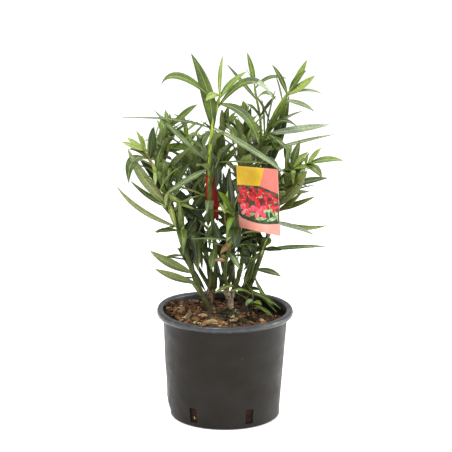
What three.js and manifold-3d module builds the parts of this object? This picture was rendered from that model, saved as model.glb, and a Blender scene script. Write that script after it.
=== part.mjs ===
// Potted oleander: a filled pot, three old stumps, their stems, one leafy mass on each stem, two labels and a tie.
// Millimetres, +Z up, the front towards -Y. The origin is the middle of the flat underside of the pot.
import * as THREE from "three";
import { mergeVertices } from "three/addons/utils/BufferGeometryUtils.js";
import Module from "manifold-3d";

const wasm = await Module();
wasm.setup();
const { Manifold, Mesh: SolidMesh } = wasm;

// Driving sizes

const GAP = 0.3; // between pieces that touch
const POT_HEIGHT = 180;
const RIM_RADIUS = 112.5;
const MOUTH_RADIUS = 101.5;
const LIP_DEPTH = 10;
const SHOULDER_RADIUS = 103;
const BASE_RADIUS = 90.5;
const FOOT_RADIUS = 86;
const WALL = 2.2;
const FLOOR = 3;
const ROUND_SIDES = 44;

const SLOT = { count: 6, first: -124, width: 13, height: 26, bottom: 7 };

const SOIL_LEVEL = 171; // on the axis; the surface rises to the left and to the front
const SOIL_SLOPE_X = -0.07;
const SOIL_SLOPE_Y = -0.04;

// Each stump has its middle, the radii at its foot, neck and top, and the height of its top.
const STUMPS = {
  west: { at: [-25, 21], radii: [13, 8.5, 14.5], top: 213 },
  middle: { at: [9, 18], radii: [9, 7.5, 14], top: 213 },
  east: { at: [31, 26], radii: [13, 11, 14], top: 201 },
};

// Each shoot has a route through four points, the radii of its stem at the foot and the tip, and the share of it
// where its leaves start. A stump's name says what it stands on, and a shoot's name which mass it forks from.
// Its leaves that show are [share, bearing, rise, length, arch, width, turn]: where the leaf leaves the shoot,
// its direction in degrees (0 is right, 90 is back), its length, how far it bows up as a share of that, its width,
// and how far its upper face turns to the front. An eighth value says where it bows most. whorls is [first share,
// last share, count, leaf length] of the threes of leaves that the seeded rule adds.
const SHOOTS = {
  leader: {
    on: "west",
    route: [[-18, 16, 0], [-18, -8, 306], [-27, -28, 419], [-7, -32, 543]],
    radii: [4, 2.4],
    leafyFrom: 0.38,
    seed: 11,
    whorls: [0.42, 0.78, 7, 75],
    leaves: [
      [0.99, 3, 87, 65, 0.03, 8, 60],
      [0.98, 230, -2, 36, 0.28, 10, 35],
      [0.98, 24, 41, 63, 0.06, 12, 30],
      [0.96, 194, 21, 98, 0.215, 17, 42, 0.92],
      [0.97, 349, 11, 91, 0.33, 19, 42, 0.62],
      [0.96, 316, -32, 107, 0.195, 18, 20],
      [0.83, 128, 69, 130, 0.1, 20, 70],
      [0.855, 189, 9, 142, 0.05, 9, 15, 0.2],
      [0.86, 342, -35, 144, 0.06, 13, 30],
      [0.7, 191, 45, 126, -0.02, 11, 40],
      [0.675, 215, -21, 91, 0.02, 12, 30],
      [0.7, 316, 7, 128, 0.02, 8, 10],
      [0.46, 262, 10, 58, 0.34, 13, 0],
      [0.57, 300, 61, 83, 0.03, 14, 55],
    ],
  },
  west: {
    on: "soil",
    route: [[-29, 0, 0], [-60, -5, 265], [-87, -28, 359], [-131, -40, 456]],
    radii: [4.4, 2.2],
    leafyFrom: 0.1,
    seed: 23,
    whorls: [0.22, 0.93, 12, 65],
    leaves: [
      [0.99, 196, 24, 40, 0, 11, 40],
      [0.99, 160, 34, 35, 0, 10, 40],
      [0.99, 221, 66, 37, 0.02, 9, 70],
      [0.98, 121, 67, 29, 0.02, 6, 40],
      [0.95, 230, -34, 55, 0.38, 17, 25],
      [0.94, 78, 68, 53, 0.02, 22, 60],
      [0.66, 216, 52, 134, -0.06, 17, -60],
      [0.65, 166, 32, 82, -0.05, 11, 30],
      [0.54, 203, 36, 129, -0.08, 11, -50],
      [0.52, 227, 7, 57, 0.03, 9, 35],
      [0.51, 277, -23, 63, 0.35, 17, 0],
      [0.43, 264, 59, 94, 0.03, 11, -40],
      [0.36, 223, 7, 49, 0.02, 7, 20],
      [0.24, 217, 31, 101, -0.03, 17, -60],
      [0.15, 216, 28, 101, 0, 15, -60],
    ],
  },
  northwest: {
    on: "west",
    route: [[-33, 15, 0], [-44, 8, 299], [-93, -5, 405], [-82, 0, 491]],
    radii: [3.8, 2.1],
    leafyFrom: 0.3,
    seed: 37,
    whorls: [0.34, 0.94, 11, 70],
    leaves: [
      [0.97, 337, 40, 62, 0.02, 12, 50],
      [0.97, 98, 59, 23, 0.02, 8, 50],
      [0.95, 239, 36, 32, 0.04, 9, 30],
      [0.83, 342, -10, 62, 0.14, 12, 50],
      [0.84, 140, 5, 41, 0.1, 12, 10],
      [0.8, 90, 38, 46, 0.05, 12, 30],
      [0.66, 272, -2, 40, 0.5, 13, 0],
      [0.45, 298, -66, 90, 0.1, 9, 40],
      [0.36, 272, 56, 39, 0.03, 15, 60],
    ],
  },
  back_west: {
    on: "west",
    route: [[-24, 29, 0], [-37, 50, 303], [-53, 70, 392], [-65, 80, 473]],
    radii: [3.8, 2],
    leafyFrom: 0.3,
    seed: 41,
    whorls: [0.36, 0.95, 9, 85],
    leaves: [
      [0.98, 131, 63, 29, 0.02, 6, 30],
      [0.96, 1, 40, 26, 0.02, 6, 30],
      [0.93, 313, 13, 27, 0.04, 8, 30],
      [0.88, 112, 66, 44, 0.02, 9, 60],
      [0.86, 331, 51, 57, 0.03, 12, 40],
    ],
  },
  rear_left: {
    on: "west",
    route: [[-34, 25, 0], [-70, 62, 290], [-98, 88, 370], [-118, 100, 446]],
    radii: [3.4, 2],
    leafyFrom: 0.3,
    seed: 53,
    whorls: [0.34, 0.98, 11, 72],
    leaves: [],
  },
  centre: {
    on: "middle",
    route: [[3, 24, 0], [10, 45, 287], [-7, 60, 377], [2, 70, 478]],
    radii: [3.8, 2.1],
    leafyFrom: 0.32,
    seed: 67,
    whorls: [0.36, 0.84, 9, 80],
    leaves: [
      [0.97, 109, 70, 34, 0.02, 8, 60],
      [0.97, 6, 80, 40, 0.02, 9, 50],
      [0.98, 321, 51, 37, 0.02, 8, 50],
      [0.97, 26, 42, 33, 0.06, 6, 30],
      [0.9, 263, 50, 43, 0.03, 8, 40],
      [0.78, 303, 55, 50, 0.02, 8, 50],
      [0.76, 355, 49, 51, 0.02, 9, 40],
      [0.73, 287, 26, 38, 0.28, 12, 0],
    ],
  },
  middle: {
    on: "middle",
    route: [[16, 14, 0], [30, -4, 293], [29, -12, 395], [36, 14, 507]],
    radii: [3.8, 2.1],
    leafyFrom: 0.34,
    seed: 71,
    whorls: [0.38, 0.86, 10, 70],
    leaves: [
      [0.98, 139, 73, 26, 0.02, 11, 50],
      [0.98, 235, 50, 29, 0.05, 6, 20],
      [0.98, 286, 55, 28, 0.02, 7, 40],
      [0.83, 245, 66, 64, 0.08, 16, 50],
      [0.8, 292, 57, 66, 0.02, 9, 40],
    ],
  },
  front: {
    on: "middle",
    route: [[3, 10, 0], [3, -20, 272], [13, -50, 315], [11, -74, 365]],
    radii: [3.2, 1.9],
    leafyFrom: 0.2,
    seed: 83,
    whorls: [0.3, 0.88, 5, 60],
    leaves: [
      [0.97, 210, 54, 45, 0.02, 16, 60],
      [0.97, 300, 59, 46, 0, 12, 60],
      [0.95, 238, 18, 27, 0.08, 12, 35],
      [0.93, 258, -20, 53, 0.12, 11, 10],
      [0.62, 273, -2, 54, 0.45, 20, 0],
      [0.6, 201, 7, 73, 0.02, 7, 0],
      [0.25, 269, 45, 25, 0.3, 11, 0],
    ],
  },
  rear_mid: {
    on: "middle",
    route: [[15, 26, 0], [16, 78, 290], [24, 112, 366], [22, 132, 446]],
    radii: [3.4, 2],
    leafyFrom: 0.32,
    seed: 97,
    whorls: [0.34, 0.98, 11, 78],
    leaves: [],
  },
  tall_east: {
    on: "east",
    route: [[25, 24, 0], [51, 24, 301], [56, 22, 422], [107, 10, 542]],
    radii: [4, 2.3],
    leafyFrom: 0.36,
    seed: 101,
    whorls: [0.4, 0.84, 10, 75],
    leaves: [
      [0.98, 8, 61, 60, -0.03, 12, 45],
      [0.98, 338, 52, 47, 0.04, 13, 60],
      [0.97, 334, 35, 59, -0.04, 15, 60],
      [0.96, 335, 11, 64, 0.12, 9, 35],
      [0.97, 146, 62, 52, 0.05, 9, 30],
      [0.94, 147, 73, 42, 0.02, 5, 0],
      [0.96, 327, -14, 56, 0.07, 9, 45],
      [0.8, 305, 80, 55, 0.03, 11, 50],
      [0.8, 2, 31, 68, 0.06, 8, 40],
      [0.8, 330, 15, 58, 0.24, 9, 45],
      [0.77, 160, 86, 68, 0.02, 6, 10],
      [0.56, 15, 70, 158, -0.03, 21, 70],
      [0.8, 358, 9, 105, 0, 14, 50],
      [0.715, 2, 14, 123, 0.01, 8, 25],
      [0.8, 340, -39, 63, 0.05, 9, 30],
      [0.79, 304, -33, 42, 0.05, 11, 40],
      [0.71, 255, -1, 30, 0.12, 9, 20],
    ],
  },
  top: {
    forkOf: "tall_east",
    forkAt: 0.7,
    route: [[0, 0, 0], [58, 28, 487], [53, 31, 519], [48, 32, 550]],
    radii: [2.2, 1.8],
    seed: 109,
    whorls: [0.3, 0.6, 1, 40],
    leaves: [
      [0.98, 180, 77, 55, 0.02, 9, 70],
      [0.97, 216, 58, 38, 0.04, 6, 20],
      [0.93, 352, 19, 54, 0.18, 9, 35],
      [0.74, 326, 4, 37, 0.3, 9, 35],
      [0.72, 158, 47, 76, 0, 9, 20],
      [0.4, 332, 56, 45, 0.02, 11, 40],
      [0.42, 198, 45, 33, 0.06, 13, 30],
      [0.36, 71, 15, 26, 0.05, 5, 0],
    ],
  },
  low_east: {
    on: "east",
    route: [[37, 20, 0], [61, 12, 271], [88, 0, 356], [108, -15, 420]],
    radii: [4, 2.1],
    leafyFrom: 0.12,
    seed: 113,
    whorls: [0.2, 0.86, 11, 70],
    leaves: [
      [0.98, 223, 79, 45, 0.02, 10, 40],
      [0.99, 34, 69, 47, 0.04, 12, 60],
      [0.98, 337, 47, 41, 0.02, 10, 50],
      [0.98, 312, 11, 42, 0.06, 11, 30],
      [0.97, 275, -30, 36, 0.35, 9, 0],
      [0.66, 319, 48, 88, 0.02, 24, -70],
      [0.8, 20, 8, 77, 0.03, 12, 45],
      [0.63, 340, 23, 69, -0.03, 12, 45],
      [0.74, 36, -1, 56, 0.02, 9, 40],
      [0.56, 8, -7, 90, -0.09, 10, 40],
      [0.555, 337, -12, 74, 0.02, 11, -50],
      [0.345, 353, 7, 104, 0.04, 11, 35, 0.4],
      [0.31, 286, 45, 78, 0.03, 14, 50],
      [0.22, 304, 2, 70, 0.04, 11, 40],
      [0.16, 300, -35, 82, -0.08, 9, 40],
    ],
  },
  far_east: {
    forkOf: "low_east",
    forkAt: 0.7,
    route: [[0, 0, 0], [103, -10, 396], [117, -20, 414], [135, -28, 431]],
    radii: [2.1, 1.7],
    seed: 127,
    whorls: [0.2, 0.92, 3, 45],
    leaves: [
      [0.97, 353, 52, 34, 0, 8, 50],
      [0.97, 37, 47, 30, 0, 7, 50],
      [0.95, 352, 9, 59, 0.09, 12, 40],
      [0.94, 309, -19, 45, 0.15, 14, 25],
      [0.8, 275, -5, 26, 0.2, 8, 0],
    ],
  },
  rear_right: {
    on: "east",
    route: [[34, 33, 0], [70, 68, 285], [94, 94, 362], [112, 106, 436]],
    radii: [3.4, 2],
    leafyFrom: 0.3,
    seed: 131,
    whorls: [0.34, 0.98, 11, 72],
    leaves: [],
  },
  basal: {
    on: "soil",
    route: [[42, 0, 0], [44, -3, 186], [45, -5, 197], [47, -6, 209]],
    radii: [2.4, 1.6],
    leafyFrom: 0,
    seed: 139,
    whorls: [0.3, 0.9, 2, 35],
    leaves: [
      [0.95, 309, -9, 66, 0.1, 8, 20],
      [0.5, 304, 5, 28, 0.1, 9, 20],
      [0.4, 306, -8, 60, 0.08, 6, 0],
      [0.95, 60, 5, 30, 0.1, 8, 0],
      [0.9, 190, 12, 40, 0.15, 9, 10],
    ],
  },
};

// The rule for the leaves that the whorls add

const TWIG_STEPS = 9;
const SWELL = 1.25; // a three-sided twig's corner radius as a share of the stem's radius
const BEND_AT = 0.56; // where along its length a leaf bows most, unless its row says
const STALK = { width: 2.4, thick: 1.5, sunk: 1 };
const FLAT_STATIONS = [[0.45, 1]]; // share of the length, share of the width
const BOWED_STATIONS = [[0.33, 0.95], [0.68, 0.75]];
const BOWED_FROM = 0.12; // the arch from which a leaf takes the longer list of stations
const THICKEST_SHARE = 1 / 90; // a leaf's thickness as a share of its length
const CELL = 2; // side of the cells that record which space is taken
const SAMPLE_STEP = 2.5;
const CROWN = { x: 10, y: 28, depth: 0.95, low: 220, wide: 420, narrow: 70, widest: 165, top: 560, topWidth: 80 };

// Labels and tie

const CARD = { width: 78, height: 110, thick: 1.2, at: [53, -65, 380], yaw: -34, pitch: 8, tilt: 2 };
const CARD_RING_SHARE = 0.745; // along the middle shoot
const STRIP = { height: 82, radius: 11, from: 10, to: 130, thick: 1, ringShare: 0.635 };
const TIE_SHARE = 0.686; // along the leader
const RING = { wall: 1.4, height: 4 };

// Vectors and routes

function vector(list) {
  return new THREE.Vector3(...list);
}

function degrees(angle) {
  return THREE.MathUtils.degToRad(angle);
}

function soilTop(x, y) {
  return SOIL_LEVEL + SOIL_SLOPE_X * x + SOIL_SLOPE_Y * y;
}

// The route's four points lie at a third of its length from each other.
function pointAlong(route, share) {
  const knots = [0, 1 / 3, 2 / 3, 1];
  const point = new THREE.Vector3();
  route.forEach((at, i) => {
    let weight = 1;
    knots.forEach((knot, j) => {
      if (j !== i) weight *= (share - knot) / (knots[i] - knot);
    });
    point.addScaledVector(vector(at), weight);
  });
  return point;
}

function axisAlong(route, share) {
  const step = 0.001;
  return pointAlong(route, share + step).sub(pointAlong(route, share - step)).normalize();
}

function radiusAlong(shoot, share) {
  return THREE.MathUtils.lerp(shoot.radii[0], shoot.radii[1], share);
}

// Two directions across an axis that is more upright than level
function crossing(axis) {
  const across = new THREE.Vector3(0, 1, 0).cross(axis).normalize();
  return [across, axis.clone().cross(across)];
}

function seededRandom(seed) {
  let state = seed;
  return () => {
    state = (state * 16807) % 2147483647;
    return state / 2147483647;
  };
}

// Solids

// Joins rings of points, all of one count, into a closed solid. The last ring may be a single point.
function loft(rings) {
  const count = rings[0].length;
  const points = rings.flat();
  const faces = [];
  for (let i = 1; i < count - 1; i++) faces.push([0, i + 1, i]);
  for (let r = 0; r + 1 < rings.length; r++) {
    const low = r * count;
    const high = low + count;
    for (let i = 0; i < count; i++) {
      const next = (i + 1) % count;
      if (rings[r + 1].length === 1) {
        faces.push([low + i, low + next, high]);
      } else {
        faces.push([low + i, low + next, high + next], [low + i, high + next, high + i]);
      }
    }
  }
  if (rings.at(-1).length > 1) {
    const last = (rings.length - 1) * count;
    for (let i = 1; i < count - 1; i++) faces.push([last, last + i, last + i + 1]);
  }
  const solid = solidFrom(points, faces);
  return solid.volume() > 0 ? solid : solidFrom(points, faces.map(([a, b, c]) => [a, c, b]));
}

function solidFrom(points, faces) {
  const vertProperties = new Float32Array(points.flatMap((p) => [p.x, p.y, p.z]));
  const triVerts = new Uint32Array(faces.flat());
  return new Manifold(new SolidMesh({ numProp: 3, vertProperties, triVerts }));
}

function solidOf(geometry) {
  const bare = geometry.clone();
  bare.deleteAttribute("normal");
  bare.deleteAttribute("uv");
  const merged = mergeVertices(bare, 1e-4);
  return new Manifold(
    new SolidMesh({
      numProp: 3,
      vertProperties: new Float32Array(merged.attributes.position.array),
      triVerts: new Uint32Array(merged.index.array),
    }),
  );
}

function geometryOf(solid) {
  const mesh = solid.getMesh();
  const points = new Float32Array(mesh.numVert * 3);
  for (let i = 0; i < mesh.numVert; i++) {
    points.set(mesh.vertProperties.subarray(i * mesh.numProp, i * mesh.numProp + 3), i * 3);
  }
  const geometry = new THREE.BufferGeometry();
  geometry.setAttribute("position", new THREE.BufferAttribute(points, 3));
  geometry.setIndex(new THREE.BufferAttribute(mesh.triVerts, 1));
  const flat = geometry.toNonIndexed();
  flat.computeVertexNormals();
  return flat;
}

// Joins solids into one body: a hollow that the joining seals is filled, and a loose scrap is dropped.
function fused(solids) {
  const bodies = Manifold.union(solids).simplify(0.02).decompose();
  return bodies.reduce((largest, body) => (body.volume() > largest.volume() ? body : largest));
}

// A ring of points round a centre
function ringAt(centre, axis, radius, sides) {
  const [across, over] = crossing(axis);
  return Array.from({ length: sides }, (_, i) => {
    const angle = (2 * Math.PI * i) / sides;
    return centre
      .clone()
      .addScaledVector(across, radius * Math.cos(angle))
      .addScaledVector(over, radius * Math.sin(angle));
  });
}

// A tapering limb along part of a shoot's route. A foot on the soil is cut parallel to it.
function limb(shoot, from, to, sides, steps, swell) {
  const rings = [];
  for (let i = 0; i <= steps; i++) {
    const share = from + ((to - from) * i) / steps;
    const centre = pointAlong(shoot.route, share);
    const foot = share === 0;
    const axis = foot ? new THREE.Vector3(0, 0, 1) : axisAlong(shoot.route, share);
    const flare = 1 + 0.25 * Math.max(0, 1 - share / 0.08);
    const ring = ringAt(centre, axis, radiusAlong(shoot, share) * swell * (foot ? flare : 1), sides);
    if (foot && shoot.on === "soil") {
      ring.forEach((p) => {
        p.z = soilTop(p.x, p.y) + GAP;
      });
    }
    rings.push(ring);
  }
  return loft(rings);
}

// A flat ring round a shoot, clear of its stem
function stemRing(shoot, share, swell) {
  const centre = pointAlong(shoot.route, share);
  const axis = axisAlong(shoot.route, share);
  const inner = radiusAlong(shoot, share) * swell + GAP + 0.1;
  const outer = inner + RING.wall;
  const half = RING.height / 2;
  const profile = [[inner, -half], [outer, -half], [outer, half], [inner, half], [inner, -half]];
  const geometry = new THREE.LatheGeometry(profile.map(([r, y]) => new THREE.Vector2(r, y)), 14);
  const turn = new THREE.Quaternion().setFromUnitVectors(new THREE.Vector3(0, 1, 0), axis);
  geometry.applyQuaternion(turn);
  geometry.translate(centre.x, centre.y, centre.z);
  return { solid: solidOf(geometry), centre, outer };
}

// A straight bar of rectangular section from one point to another
function bar(from, to, width, thick) {
  const length = from.distanceTo(to);
  const geometry = new THREE.BoxGeometry(width, thick, length);
  const turn = new THREE.Quaternion().setFromUnitVectors(
    new THREE.Vector3(0, 0, 1),
    to.clone().sub(from).normalize(),
  );
  geometry.applyQuaternion(turn);
  const middle = from.clone().add(to).multiplyScalar(0.5);
  geometry.translate(middle.x, middle.y, middle.z);
  return solidOf(geometry);
}

// Leaves

// Works out a leaf from its row: its stations, each with a centre, the side and face directions and a half width.
function leafShape(base, [, bearing, rise, length, arch, width, turn, bowsAt = BEND_AT]) {
  const level = Math.cos(degrees(rise));
  const chord = new THREE.Vector3(
    level * Math.cos(degrees(bearing)),
    level * Math.sin(degrees(bearing)),
    Math.sin(degrees(rise)),
  );
  const up = new THREE.Vector3(
    -Math.sin(degrees(rise)) * Math.cos(degrees(bearing)),
    -Math.sin(degrees(rise)) * Math.sin(degrees(bearing)),
    level,
  );
  const sideways = chord.clone().cross(up);
  if (sideways.y > 0) sideways.negate();
  const face = up
    .clone()
    .multiplyScalar(Math.cos(degrees(turn)))
    .addScaledVector(sideways, Math.sin(degrees(turn)));
  const side = chord.clone().cross(face);
  const bend = base
    .clone()
    .addScaledVector(chord, bowsAt * length)
    .addScaledVector(up, 2 * arch * length);
  const tip = base.clone().addScaledVector(chord, length);
  const midline = (u) =>
    base
      .clone()
      .multiplyScalar((1 - u) ** 2)
      .addScaledVector(bend, 2 * u * (1 - u))
      .addScaledVector(tip, u * u);
  const shares = Math.abs(arch) < BOWED_FROM ? FLAT_STATIONS : BOWED_STATIONS;
  const thick = Math.max(STALK.thick, length * THICKEST_SHARE);
  const stations = [
    { centre: base.clone().addScaledVector(chord, -STALK.sunk), half: STALK.width / 2, u: 0 },
    ...shares.map(([u, share]) => ({ centre: midline(u), half: (share * width) / 2, u })),
    { centre: tip, half: 0, u: 1 },
  ];
  return { stations, side, face, thick, length };
}

// A leaf's solid: a three-sided blade with a keel under its midrib
function leafSolid(leaf) {
  const rings = leaf.stations.map(({ centre, half }) => {
    if (!half) return [centre.clone()];
    return [
      centre.clone().addScaledVector(leaf.side, -half),
      centre.clone().addScaledVector(leaf.face, -leaf.thick),
      centre.clone().addScaledVector(leaf.side, half),
    ];
  });
  return loft(rings);
}

// Points spread over a leaf's blade, from outside its stem to its tip
function leafPoints(leaf, skip) {
  const points = [];
  const along = Math.ceil(leaf.length / SAMPLE_STEP);
  for (let i = 0; i <= along; i++) {
    const u = i / along;
    if (u * leaf.length < skip) continue;
    let s = 1;
    while (leaf.stations[s].u < u) s++;
    const low = leaf.stations[s - 1];
    const high = leaf.stations[s];
    const mix = (u - low.u) / (high.u - low.u);
    const centre = low.centre.clone().lerp(high.centre, mix);
    const half = THREE.MathUtils.lerp(low.half, high.half, mix);
    const across = Math.ceil((2 * half) / SAMPLE_STEP);
    for (let j = 0; j <= across; j++) {
      const offset = across ? half * ((2 * j) / across - 1) : 0;
      points.push(centre.clone().addScaledVector(leaf.side, offset));
    }
  }
  return points;
}

// The space already taken, cell by cell, with the name of the node that took it

const taken = new Map();

function cellOf(point) {
  return [point.x, point.y, point.z].map((v) => Math.floor(v / CELL) + 512);
}

function cellKey(ix, iy, iz) {
  return (ix * 1024 + iy) * 1024 + iz;
}

function claim(points, owner) {
  points.forEach((point) => taken.set(cellKey(...cellOf(point)), owner));
}

function isClear(points, owner) {
  return points.every((point) => {
    const [ix, iy, iz] = cellOf(point);
    for (let i = -1; i <= 1; i++) {
      for (let j = -1; j <= 1; j++) {
        for (let k = -1; k <= 1; k++) {
          const other = taken.get(cellKey(ix + i, iy + j, iz + k));
          if (other !== undefined && other !== owner) return false;
        }
      }
    }
    return true;
  });
}

function clearOfPot(points) {
  return points.every(({ x, y, z }) => {
    if (z > POT_HEIGHT + 2) return true;
    return Math.hypot(x, y) < MOUTH_RADIUS - 4 && z > soilTop(x, y) + 3;
  });
}

// The crown is an upside-down cone that draws in again at the top.
function insideCrown({ x, y, z }) {
  const below = THREE.MathUtils.clamp((z - CROWN.low) / (CROWN.wide - CROWN.low), 0, 1);
  const above = THREE.MathUtils.clamp((z - CROWN.wide) / (CROWN.top - CROWN.wide), 0, 1);
  const radius =
    CROWN.narrow + (CROWN.widest - CROWN.narrow) * below - (CROWN.widest - CROWN.topWidth) * above;
  return Math.abs((x - CROWN.x) / radius) ** 3 + Math.abs((y - CROWN.y) / (radius * CROWN.depth)) ** 3 < 1;
}

// The leaves of one shoot's whorls, as rows like those of the leaves that show
function whorlRows(shoot) {
  const random = seededRandom(shoot.seed);
  const [first, last, count, reach] = shoot.whorls;
  const rows = [];
  for (let w = 0; w < count; w++) {
    const share = count > 1 ? first + ((last - first) * w) / (count - 1) : first;
    const axis = axisAlong(shoot.route, share);
    const [across, over] = crossing(axis);
    const start = 60 * w + 50 * random();
    for (let k = 0; k < 3; k++) {
      const angle = degrees(start + 120 * k + 30 * (random() - 0.5));
      const young = THREE.MathUtils.clamp((share - 0.72) / 0.28, 0, 1);
      const spread = degrees(60 - 32 * young + 16 * (random() - 0.5));
      const growth = 1 - 0.6 * young;
      const length = reach * growth * (0.8 + 0.45 * random());
      const direction = axis
        .clone()
        .multiplyScalar(Math.cos(spread))
        .addScaledVector(across, Math.sin(spread) * Math.cos(angle))
        .addScaledVector(over, Math.sin(spread) * Math.sin(angle));
      const bearing = THREE.MathUtils.radToDeg(Math.atan2(direction.y, direction.x));
      const rise = THREE.MathUtils.radToDeg(Math.asin(direction.z));
      const arch = 0.03 + 0.13 * random();
      const width = Math.min(18, 3 + 0.13 * length);
      rows.push([share, bearing, rise, length, arch, width, 0]);
    }
  }
  return rows;
}

// Pot and soil

function potOutline() {
  const edge = BASE_RADIUS - FOOT_RADIUS;
  return [
    [0, 0],
    [FOOT_RADIUS, 0],
    [FOOT_RADIUS + 0.6 * edge, 1.5],
    [FOOT_RADIUS + 0.9 * edge, 4.5],
    [BASE_RADIUS, 9],
    [SHOULDER_RADIUS, POT_HEIGHT - LIP_DEPTH - 2],
    [RIM_RADIUS - 1.5, POT_HEIGHT - LIP_DEPTH],
    [RIM_RADIUS, POT_HEIGHT - LIP_DEPTH + 2.5],
    [RIM_RADIUS, POT_HEIGHT - 3.5],
    [RIM_RADIUS - 2.5, POT_HEIGHT - 0.8],
    [RIM_RADIUS - 5.5, POT_HEIGHT],
    [MOUTH_RADIUS + 1.5, POT_HEIGHT - 1],
    [MOUTH_RADIUS, POT_HEIGHT - 4],
    ...potInside(0).reverse(),
  ];
}

// The inside from the axis outwards and up, drawn in by a gap
function potInside(gap) {
  return [
    [0, FLOOR + gap],
    [BASE_RADIUS - WALL - 4 - gap, FLOOR + gap],
    [BASE_RADIUS - WALL - gap, FLOOR + 5 + gap],
    [SHOULDER_RADIUS - WALL - gap, POT_HEIGHT - LIP_DEPTH - 2],
  ];
}

function lathe(outline) {
  return solidOf(new THREE.LatheGeometry(outline.map(([r, z]) => new THREE.Vector2(r, z)), ROUND_SIDES).rotateX(
    Math.PI / 2,
  ));
}

function makePot() {
  const slots = Array.from({ length: SLOT.count }, (_, i) => {
    const angle = degrees(SLOT.first + (360 / SLOT.count) * i);
    const slot = new THREE.BoxGeometry(14, SLOT.width, SLOT.height);
    slot.translate(BASE_RADIUS - 1.5, 0, SLOT.bottom + SLOT.height / 2);
    slot.rotateZ(angle);
    return solidOf(slot);
  });
  return lathe(potOutline()).subtract(Manifold.union(slots));
}

function makeSoil() {
  const inside = potInside(GAP);
  const brim = [MOUTH_RADIUS - 1.2 - GAP, POT_HEIGHT];
  const fill = lathe([...inside, brim, [0, POT_HEIGHT]]);
  const slope = new THREE.Vector3(SOIL_SLOPE_X, SOIL_SLOPE_Y, -1);
  const length = slope.length();
  return fill.trimByPlane(slope.divideScalar(length).toArray(), -SOIL_LEVEL / length);
}

// An old stump, cut flat parallel to the soil at its foot and level at its top
function makeStump({ at: [x, y], radii: [foot, neck, head], top }) {
  const upright = new THREE.Vector3(0, 0, 1);
  const ground = soilTop(x, y) + GAP;
  const levels = [
    [0, foot],
    [0.18, (foot + 2 * neck) / 3],
    [0.5, neck],
    [0.78, (neck + head) / 2],
    [0.92, head],
    [1, head * 0.96],
  ];
  const rings = levels.map(([share, radius]) => {
    const centre = new THREE.Vector3(x, y, ground + (top - ground) * share);
    return ringAt(centre, upright, radius, 12);
  });
  rings[0].forEach((p) => {
    p.z = soilTop(p.x, p.y) + GAP;
  });
  return loft(rings);
}

// Labels and tie, each one solid that goes round a stem

function cardFrame() {
  return new THREE.Matrix4()
    .makeTranslation(...CARD.at)
    .multiply(new THREE.Matrix4().makeRotationZ(degrees(CARD.yaw)))
    .multiply(new THREE.Matrix4().makeRotationX(degrees(CARD.pitch)))
    .multiply(new THREE.Matrix4().makeRotationY(degrees(CARD.tilt)));
}

function makeCard() {
  const card = new THREE.BoxGeometry(CARD.width, CARD.thick, CARD.height).applyMatrix4(cardFrame());
  const ring = stemRing(SHOOTS.middle, CARD_RING_SHARE, SWELL);
  const hold = new THREE.Vector3(-CARD.width / 2 + 12, 0, CARD.height / 2 - 5).applyMatrix4(cardFrame());
  const reach = hold.clone().sub(ring.centre).setLength(ring.outer - 0.7).add(ring.centre);
  return Manifold.union([solidOf(card), ring.solid, bar(reach, hold, 4, 1.2)]);
}

function makeStrip() {
  const leader = SHOOTS.leader;
  const ring = stemRing(leader, STRIP.ringShare, SWELL);
  const arc = (radius, clockwise) => {
    const [a, b] = [degrees(STRIP.from), degrees(STRIP.to)];
    return new THREE.Path().absarc(0, 0, radius, clockwise ? b : a, clockwise ? a : b, clockwise).getPoints(7);
  };
  const section = new THREE.Shape([...arc(STRIP.radius, false), ...arc(STRIP.radius - STRIP.thick, true)]);
  const sleeve = new THREE.ExtrudeGeometry(section, { depth: STRIP.height, bevelEnabled: false });
  const low = pointAlong(leader.route, STRIP.ringShare - 0.21);
  const down = low.sub(ring.centre).normalize();
  const turn = new THREE.Quaternion().setFromUnitVectors(new THREE.Vector3(0, 0, 1), down.clone().negate());
  sleeve.translate(0, 0, RING.height / 2 - STRIP.height).applyQuaternion(turn);
  sleeve.translate(...ring.centre.toArray());
  const back = new THREE.Vector3(0, 1, 0).applyQuaternion(turn);
  const near = ring.centre.clone().addScaledVector(back, ring.outer - 0.7);
  const far = ring.centre.clone().addScaledVector(back, STRIP.radius - 0.3);
  return Manifold.union([solidOf(sleeve), ring.solid, bar(near, far, 5, 1.4)]);
}

function makeTie() {
  const ring = stemRing(SHOOTS.leader, TIE_SHARE, SWELL);
  const from = ring.centre.clone().add(new THREE.Vector3(ring.outer - 0.7, -1, 0));
  const to = from.clone().add(new THREE.Vector3(5, -2, 2));
  return Manifold.union([ring.solid, bar(from, to, 1.6, 1.6)]);
}

// Points on a solid's faces, close enough together to stop a leaf that would cross it
function surfacePoints(solid) {
  const position = geometryOf(solid.refineToLength(SAMPLE_STEP)).getAttribute("position");
  return Array.from({ length: position.count }, (_, i) => new THREE.Vector3().fromBufferAttribute(position, i));
}

// Assembly

const FINISH = {
  pot: { color: 0x3c3d3f, roughness: 0.45 },
  soil: { color: 0x6b4326, roughness: 0.95 },
  stump: { color: 0x8d7a60, roughness: 0.85 },
  stem: { color: 0x55672c, roughness: 0.65 },
  leaf: { color: 0x46652a, roughness: 0.5 },
  card: { color: 0xe8897c, roughness: 0.4 },
  strip: { color: 0xb5261c, roughness: 0.45 },
  tie: { color: 0x2a6f6a, roughness: 0.5 },
};

const plant = new THREE.Group();

function addPiece(name, solid, finish) {
  const mesh = new THREE.Mesh(geometryOf(solid), new THREE.MeshStandardMaterial(FINISH[finish]));
  mesh.name = name;
  plant.add(mesh);
}

addPiece("pot", makePot(), "pot");
addPiece("soil", makeSoil(), "soil");
for (const [name, stump] of Object.entries(STUMPS)) {
  const solid = makeStump(stump);
  claim(surfacePoints(solid), `stump_${name}`);
  addPiece(`stump_${name}`, solid, "stump");
}

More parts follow.
